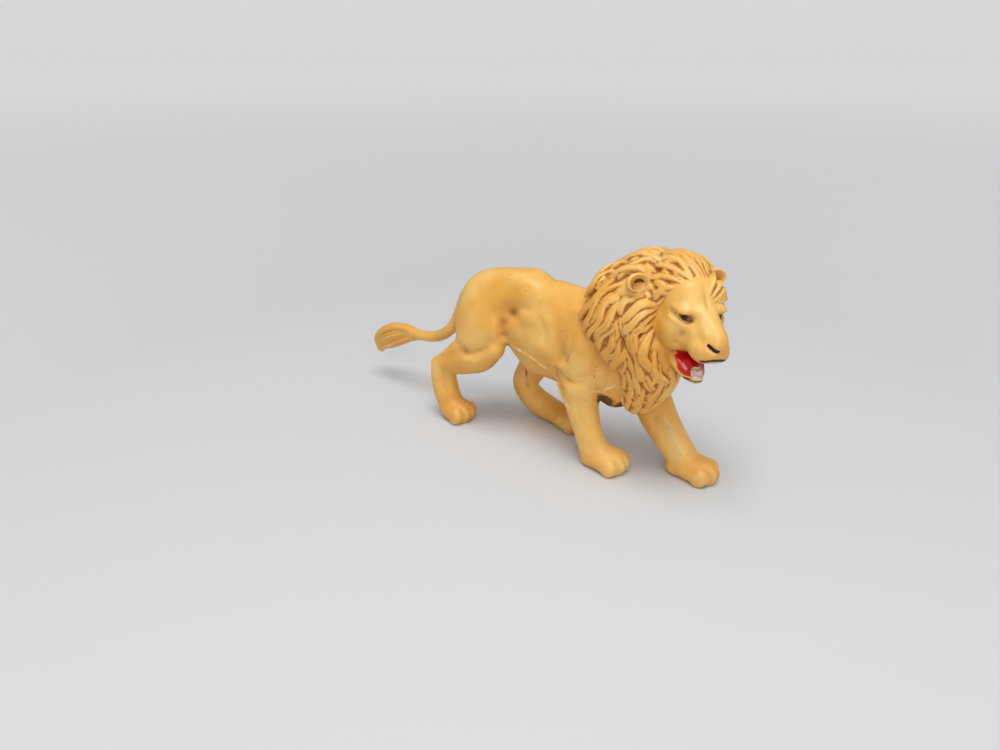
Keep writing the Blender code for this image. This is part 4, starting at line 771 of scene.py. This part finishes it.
def paintHead(head):
    points, normals = toHead(readPoints(head)), readPoints(head, "normal") @ headAxes()
    f, l, u = points.T
    p = paint["mouth"]
    inside = soft(f - p["back"]) * soft(p["wide"] - abs(l))
    roof = inside * soft(p["roofWide"] - abs(l)) * soft(p["front"] - f) * soft(-normals[:, 2] - .45)
    roof = roof * soft(u - p["floor"]) * soft(p["roof"] - u)
    ground = inside * soft(p["jawFront"] - f) * soft(p["floor"] - u) * soft(u - p["gum"])
    ground = ground * soft(normals[:, 2] - .05)
    walls = inside * soft(p["wallFront"] - f) * soft(u - p["wallLow"]) * soft(p["wallHigh"] - u)
    walls = walls * soft(p["wallWide"] - abs(l))
    t = paint["tooth"]
    tooth = soft(f - t["front"]) * soft(t["wide"] - abs(l)) * soft(u - t["gum"]) * soft(t["tip"] - u)
    red = np.maximum.reduce([roof, ground, walls, tooth * soft(u - p["gum"])])
    mark(head, "red", spread(head, red[:, None], 8)[:, 0])
    mark(head, "tooth", tooth)
    lip = paint["lowerLip"]
    dark = soft(f - lip["front"]) * soft(lip["top"] - u) * soft(u - lip["low"]) * (1 - tooth)
    reach = np.full(len(points), 9.0)
    for word in ("nostril", "lip"):
        for path in faceLines[word + "s"][:1 if word == "nostril" else 2]:
            reach = np.minimum(reach, distanceTo(points, path)[0] / paint[word])
    mark(head, "dark", np.maximum(dark * lip["strength"], np.clip(1.6 - reach, 0, 1)))
    # the eye shows as an almond: |v| < tall (1 - (h / long)^2), h along the lids and v across them
    almond = paint["almond"]
    along, across = unit(np.array(almond["along"])), unit(np.array(almond["across"]))
    away = np.stack([f, abs(l), u], -1) - almond["centre"]
    h, v = away @ along, away @ across
    open_ = almond["tall"] * (1 - (h / almond["long"])**2) - abs(v)
    mark(head, "eye", soft(open_, .12) * soft(almond["reach"] - np.linalg.norm(away, axis=1)))
    # painted shade darkens the pit of each ear
    pit = np.zeros(len(points))
    for side, centre in zip((-1, 1), toHead(ears)):
        away = np.stack([f, l, u], -1) - centre - np.array(ear["pit"]) * (1, side, 1)
        pit = np.maximum(pit, ear["pitShadeStrength"] * np.exp(-(away**2).sum(1) / ear["pitSize"]**2))
    mark(head, "hollowShade", pit)
    mark(head, "pupil", soft(almond["pupil"] - np.hypot(h - almond["shift"], v), .2))


def paintBody(body):
    points = readPoints(body)
    skin = BVHTree.FromObject(body, bpy.context.evaluated_depsgraph_get())
    lines = [distanceTo(points, snapped(skin, skinShape[word], 40), 120)[0] for word in ("flash", "bridge")]
    flash = np.minimum(lines[0], lines[1] * 1.6)
    mark(body, "flash", np.clip(1.3 - flash / paint["flash"], 0, 1))
    mark(body, "scar", np.clip(1.2 - distanceTo(points, paint["scar"])[0] / paint["scarWidth"], 0, 1))
    # painted shade: brown darkening in those hollows
    hollowShade = np.zeros(len(points))
    for centre, size, depth in paint["hollowShades"]:
        hollowShade = np.maximum(hollowShade, depth * np.exp(-(((points - centre) / size)**2).sum(1)))
    mark(body, "hollowShade", hollowShade)


# shader values that add and multiply

class Shade:
    def __init__(self, tree, socket=None):
        self.tree = tree
        self.socket = socket

    def node(self, kind, inputs=None, output=0, **settings):
        made = self.tree.nodes.new("ShaderNode" + kind)
        for name, value in settings.items():
            setattr(made, name, value)
        for name, value in (inputs or {}).items():
            if isinstance(value, Shade):
                self.tree.links.new(value.socket, made.inputs[name])
            else:
                made.inputs[name].default_value = value
        return Shade(self.tree, made.outputs[output])

    def math(self, operation, *values):
        return self.node("Math", dict(enumerate(values)), operation=operation)

    def __add__(self, other):
        return self.math("ADD", self, other)

    def __sub__(self, other):
        return self.math("SUBTRACT", self, other)

    def __rsub__(self, other):
        return self.math("SUBTRACT", other, self)

    def __mul__(self, other):
        return self.math("MULTIPLY", self, other)

    __radd__, __rmul__ = __add__, __mul__

    def between(self, low, high):
        # 0 below low, 1 above high, smooth between
        return self.node("MapRange", {0: self, 1: low, 2: high}, interpolation_type="SMOOTHSTEP")

    def blend(self, first, second):
        return self.node("Mix", {0: self, 6: first, 7: second}, 2, data_type="RGBA")

    def noise(self, where, perMetre, detail=3):
        return self.node("TexNoise", {"Vector": where, "Scale": perMetre, "Detail": detail})

    def named(self, name):
        return self.node("Attribute", output=2, attribute_name=name)


def tint(red, green, blue):
    # linear value of a colour given in 0 to 255
    shares = np.array([red, green, blue]) / 255
    return tuple((((shares + .055) / 1.055)**2.4).tolist()) + (1,)


finish = dict(
    # the deep orange is painted shade for recesses
    ochre=(224, 161, 68), pale=(238, 190, 104), recessShade=(146, 76, 12),
    # the paler colour laid on raised parts is partly wear of the paint and partly painted highlight
    edgeWearHighlight=(250, 216, 156), grime=(112, 70, 28),
    rough=.38, grain=.012, shine=.42,
    # noise per metre
    clouds=90, patches=420, shades=700, specks=1500, speckFields=150, grains=2200, streaks=2600,
    # how strongly each colour covers the plastic
    recessShadeShare=.8, edgeWearHighlightShare=.25, grimeShare=.6,
)
# colour and how patchy it lies
# the brown (116, 60, 18) is painted shade for hollows and the ears' pits
paints = dict(red=(222, 34, 26, 0), tooth=(240, 226, 206, .8), dark=(44, 28, 18, .35), eye=(134, 88, 34, 0),
              pupil=(62, 34, 10, 0), flash=(252, 214, 146, .1), hollowShade=(116, 60, 18, .3),
              scar=(248, 212, 184, .7))


def plastic(name, marks=(), wide=2.4):
    material = bpy.data.materials.new(name)
    material.use_nodes = True
    tree = material.node_tree
    surface = tree.nodes["Principled BSDF"]
    make = Shade(tree)
    where = make.node("TexCoord", output=3)
    cloud = make.noise(where, finish["clouds"])
    patch = make.noise(where, finish["patches"])
    hollow = make.named("hollow")
    colour = cloud.between(.35, .68).blend(tint(*finish["ochre"]), tint(*finish["pale"]))
    # painted shade: skin lying deep in a recess turns towards deep orange
    recessShadeMask = (hollow + (patch - .5) * .12).between(.54, .86)
    colour = (recessShadeMask * finish["recessShadeShare"]).blend(colour, tint(*finish["recessShade"]))
    # raised parts paler: partly wear of the ochre paint, partly painted highlight
    wearAndHighlight = (.5 - hollow + patch * .5).between(.36, .55)
    colour = (wearAndHighlight * finish["edgeWearHighlightShare"]).blend(colour, tint(*finish["edgeWearHighlight"]))
    field = make.noise(where, finish["speckFields"], 1).between(.5, .62)
    speck = make.noise(where, finish["specks"], 1).between(.71, .76) * field
    colour = (speck * finish["grimeShare"]).blend(colour, tint(*finish["grime"]))
    rough = finish["rough"] + (patch - .5) * .16 + recessShadeMask * .14 + speck * .2
    height = make.noise(where, finish["grains"], 2) * .5 + patch * wide
    streak = make.noise(where, finish["streaks"], 2)
    for word in marks:
        *rgb, patchy = paints[word]
        full = make.named(word)
        share = (full * (1 - .4 * patchy) + full * (streak - .5) * (2.5 * patchy)).between(.35, .65)
        if word == "pupil":
            share = share * make.named("eye").between(.35, .65)
        shade = make.noise(where, finish["shades"]).between(.2, .8)
        shown = shade.blend(tint(*[c * .8 for c in rgb]), tint(*rgb))
        colour = share.blend(colour, shown)
        rough = rough - share * (.24 if word in ("red", "scar") else -.15)
    bump = make.node("Bump", {"Height": height, "Distance": finish["grain"] * .001, "Strength": .6})
    for socket, value in (("Base Color", colour), ("Roughness", rough), ("Normal", bump)):
        tree.links.new(value.socket, surface.inputs[socket])
    surface.inputs["Specular IOR Level"].default_value = finish["shine"]
    return material


# everything moves from the lion's millimetres to the CAD frame

def middle(low, high):
    return (np.array(low) + np.array(high))[:2] / 2


cadLow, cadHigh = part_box("body")
ownPoints = readPoints(body)
moved = np.append(middle(cadLow, cadHigh) - middle(ownPoints.min(0), ownPoints.max(0)) * .001, 0)


def settle(piece, material, nodes):
    writePoints(piece, readPoints(piece) * .001 + moved)
    piece.data.materials.clear()
    piece.data.materials.append(material)
    piece.data.polygons.foreach_set("use_smooth", np.ones(len(piece.data.polygons), bool))
    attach(piece, "root")
    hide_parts(*nodes)
    print(piece.name, len(piece.data.polygons), "faces")


print("finish")
hollows(body, 30, 1.1)
hollows(tail, 12, .35)
hollows(head, 14, .3)
# the extra share gives the mane's grooves more painted shade
hollows(mane, 6, .15, .10)
paintHead(head)
paintBody(body)
settle(body, plastic("body_finish", ("hollowShade", "scar", "flash")), ["body"])
settle(tail, plastic("tail_finish"), ["tail"])
facePaint = plastic("face_finish", ("hollowShade", "red", "tooth", "dark", "eye", "pupil"))
settle(head, facePaint, ["head"])
settle(mane, plastic("mane_finish"), ["head"])


# floor, light and camera

stage = dict(
    floor=(206, 208, 210), wall=(214, 215, 217), worldLight=.46, glow=.42, glowFrom=.12, glowReach=.5,
    # metres: the floor before and beside the lion, and the wall's distance, bend and height
    size=6.0, halfWidth=9.0, wallFrom=4.0, bend=1.5, wallHeight=6.0,
    # name, place, aim, size and watts
    lamps=[("overhead", (.07, -.12, .60), (0, 0, .01), .36, 2.45),
           ("front", (.42, -.50, .40), (0, 0, .02), .25, 1.1)],
)


def buildFloor():
    # flat floor that curves up into a wall far behind: z = r (1 - cos t), then straight up
    turn = np.radians(np.linspace(0, 90, 13))
    bend, start = stage["bend"], stage["wallFrom"]
    across = np.concatenate([[-stage["size"]], start + bend * np.sin(turn), [start + bend]])
    rise = np.concatenate([[0], bend * (1 - np.cos(turn)), [stage["wallHeight"]]])
    wide = np.array([-1, 1]) * stage["halfWidth"]
    points = np.stack([np.repeat(wide, len(across)), np.tile(across, 2), np.tile(rise, 2)], -1)
    count = len(across)
    faces = [[i + count, i + count + 1, i + 1, i] for i in range(count - 1)]
    floor = makePiece("floor", [(points, faces)])
    floor.rotation_euler.z = math.atan2(-view["fwd"][0], view["fwd"][1])
    material = bpy.data.materials.new("floor_finish")
    material.use_nodes = True
    surface = material.node_tree.nodes["Principled BSDF"]
    surface.inputs["Base Color"].default_value = tint(*stage["floor"])
    surface.inputs["Roughness"].default_value = .6
    # far from the lamps the picture alone gets paler by 1 - exp(-d / reach); none of it lights the lion
    make = Shade(material.node_tree)
    far = make.node("VectorMath", {0: make.node("TexCoord", output=3)}, 1, operation="LENGTH")
    far = make.math("MAXIMUM", far - stage["glowFrom"], 0)
    fade = make.math("POWER", math.e, far * (-1 / stage["glowReach"]))
    glow = (1 - fade) * make.node("LightPath", output=0) * stage["glow"]
    material.node_tree.links.new(glow.socket, surface.inputs["Emission Color"])
    surface.inputs["Emission Strength"].default_value = 1
    floor.data.materials.append(material)


def addLight(name, place, aim, size, watts):
    lamp = bpy.data.lights.new(name, "AREA")
    lamp.size = size
    lamp.energy = watts
    light = bpy.data.objects.new(name, lamp)
    light.location = place
    light.rotation_euler = (Vector(aim) - Vector(place)).to_track_quat("-Z", "Y").to_euler()
    bpy.context.scene.collection.objects.link(light)


# camera in the lion's frame: place in mm, where it looks, and the way up
view = dict(place=(104.76, -122.54, 78.73), fwd=(-.57088, .7177, -.39875), up=(-.24823, .31206, .91706),
            pixels=751, width=1000)


def addCamera():
    lens = bpy.data.cameras.new("camera")
    lens.sensor_width = 36
    lens.lens = 36 * view["pixels"] / view["width"]
    lens.clip_start = .005
    lens.dof.use_dof = False
    camera = bpy.data.objects.new("camera", lens)
    forward, up = unit(np.array(view["fwd"])), unit(np.array(view["up"]))
    turned = np.eye(4)
    turned[:3, :3] = np.stack([np.cross(forward, up), up, -forward], -1)
    turned[:3, 3] = np.array(view["place"]) * .001 + moved
    camera.matrix_world = Matrix(turned.tolist())
    bpy.context.scene.collection.objects.link(camera)
    bpy.context.scene.camera = camera


def lightWorld():
    world = bpy.data.worlds.new("studio")
    bpy.context.scene.world = world
    world.use_nodes = True
    # the camera sees the pale wall's colour past the floor, and everything else gets the studio's soft light
    make = Shade(world.node_tree)
    light = make.node("Background", {"Color": (1, 1, 1, 1), "Strength": stage["worldLight"]})
    seen = make.node("Background", {"Color": tint(*stage["wall"]), "Strength": 1})
    both = make.node("MixShader", {0: make.node("LightPath", output=0), 1: light, 2: seen})
    world.node_tree.links.new(both.socket, world.node_tree.nodes["World Output"].inputs["Surface"])


print("stage")
buildFloor()
for lamp in stage["lamps"]:
    addLight(*lamp)
addCamera()
lightWorld()
bpy.context.scene.view_settings.view_transform = "Standard"
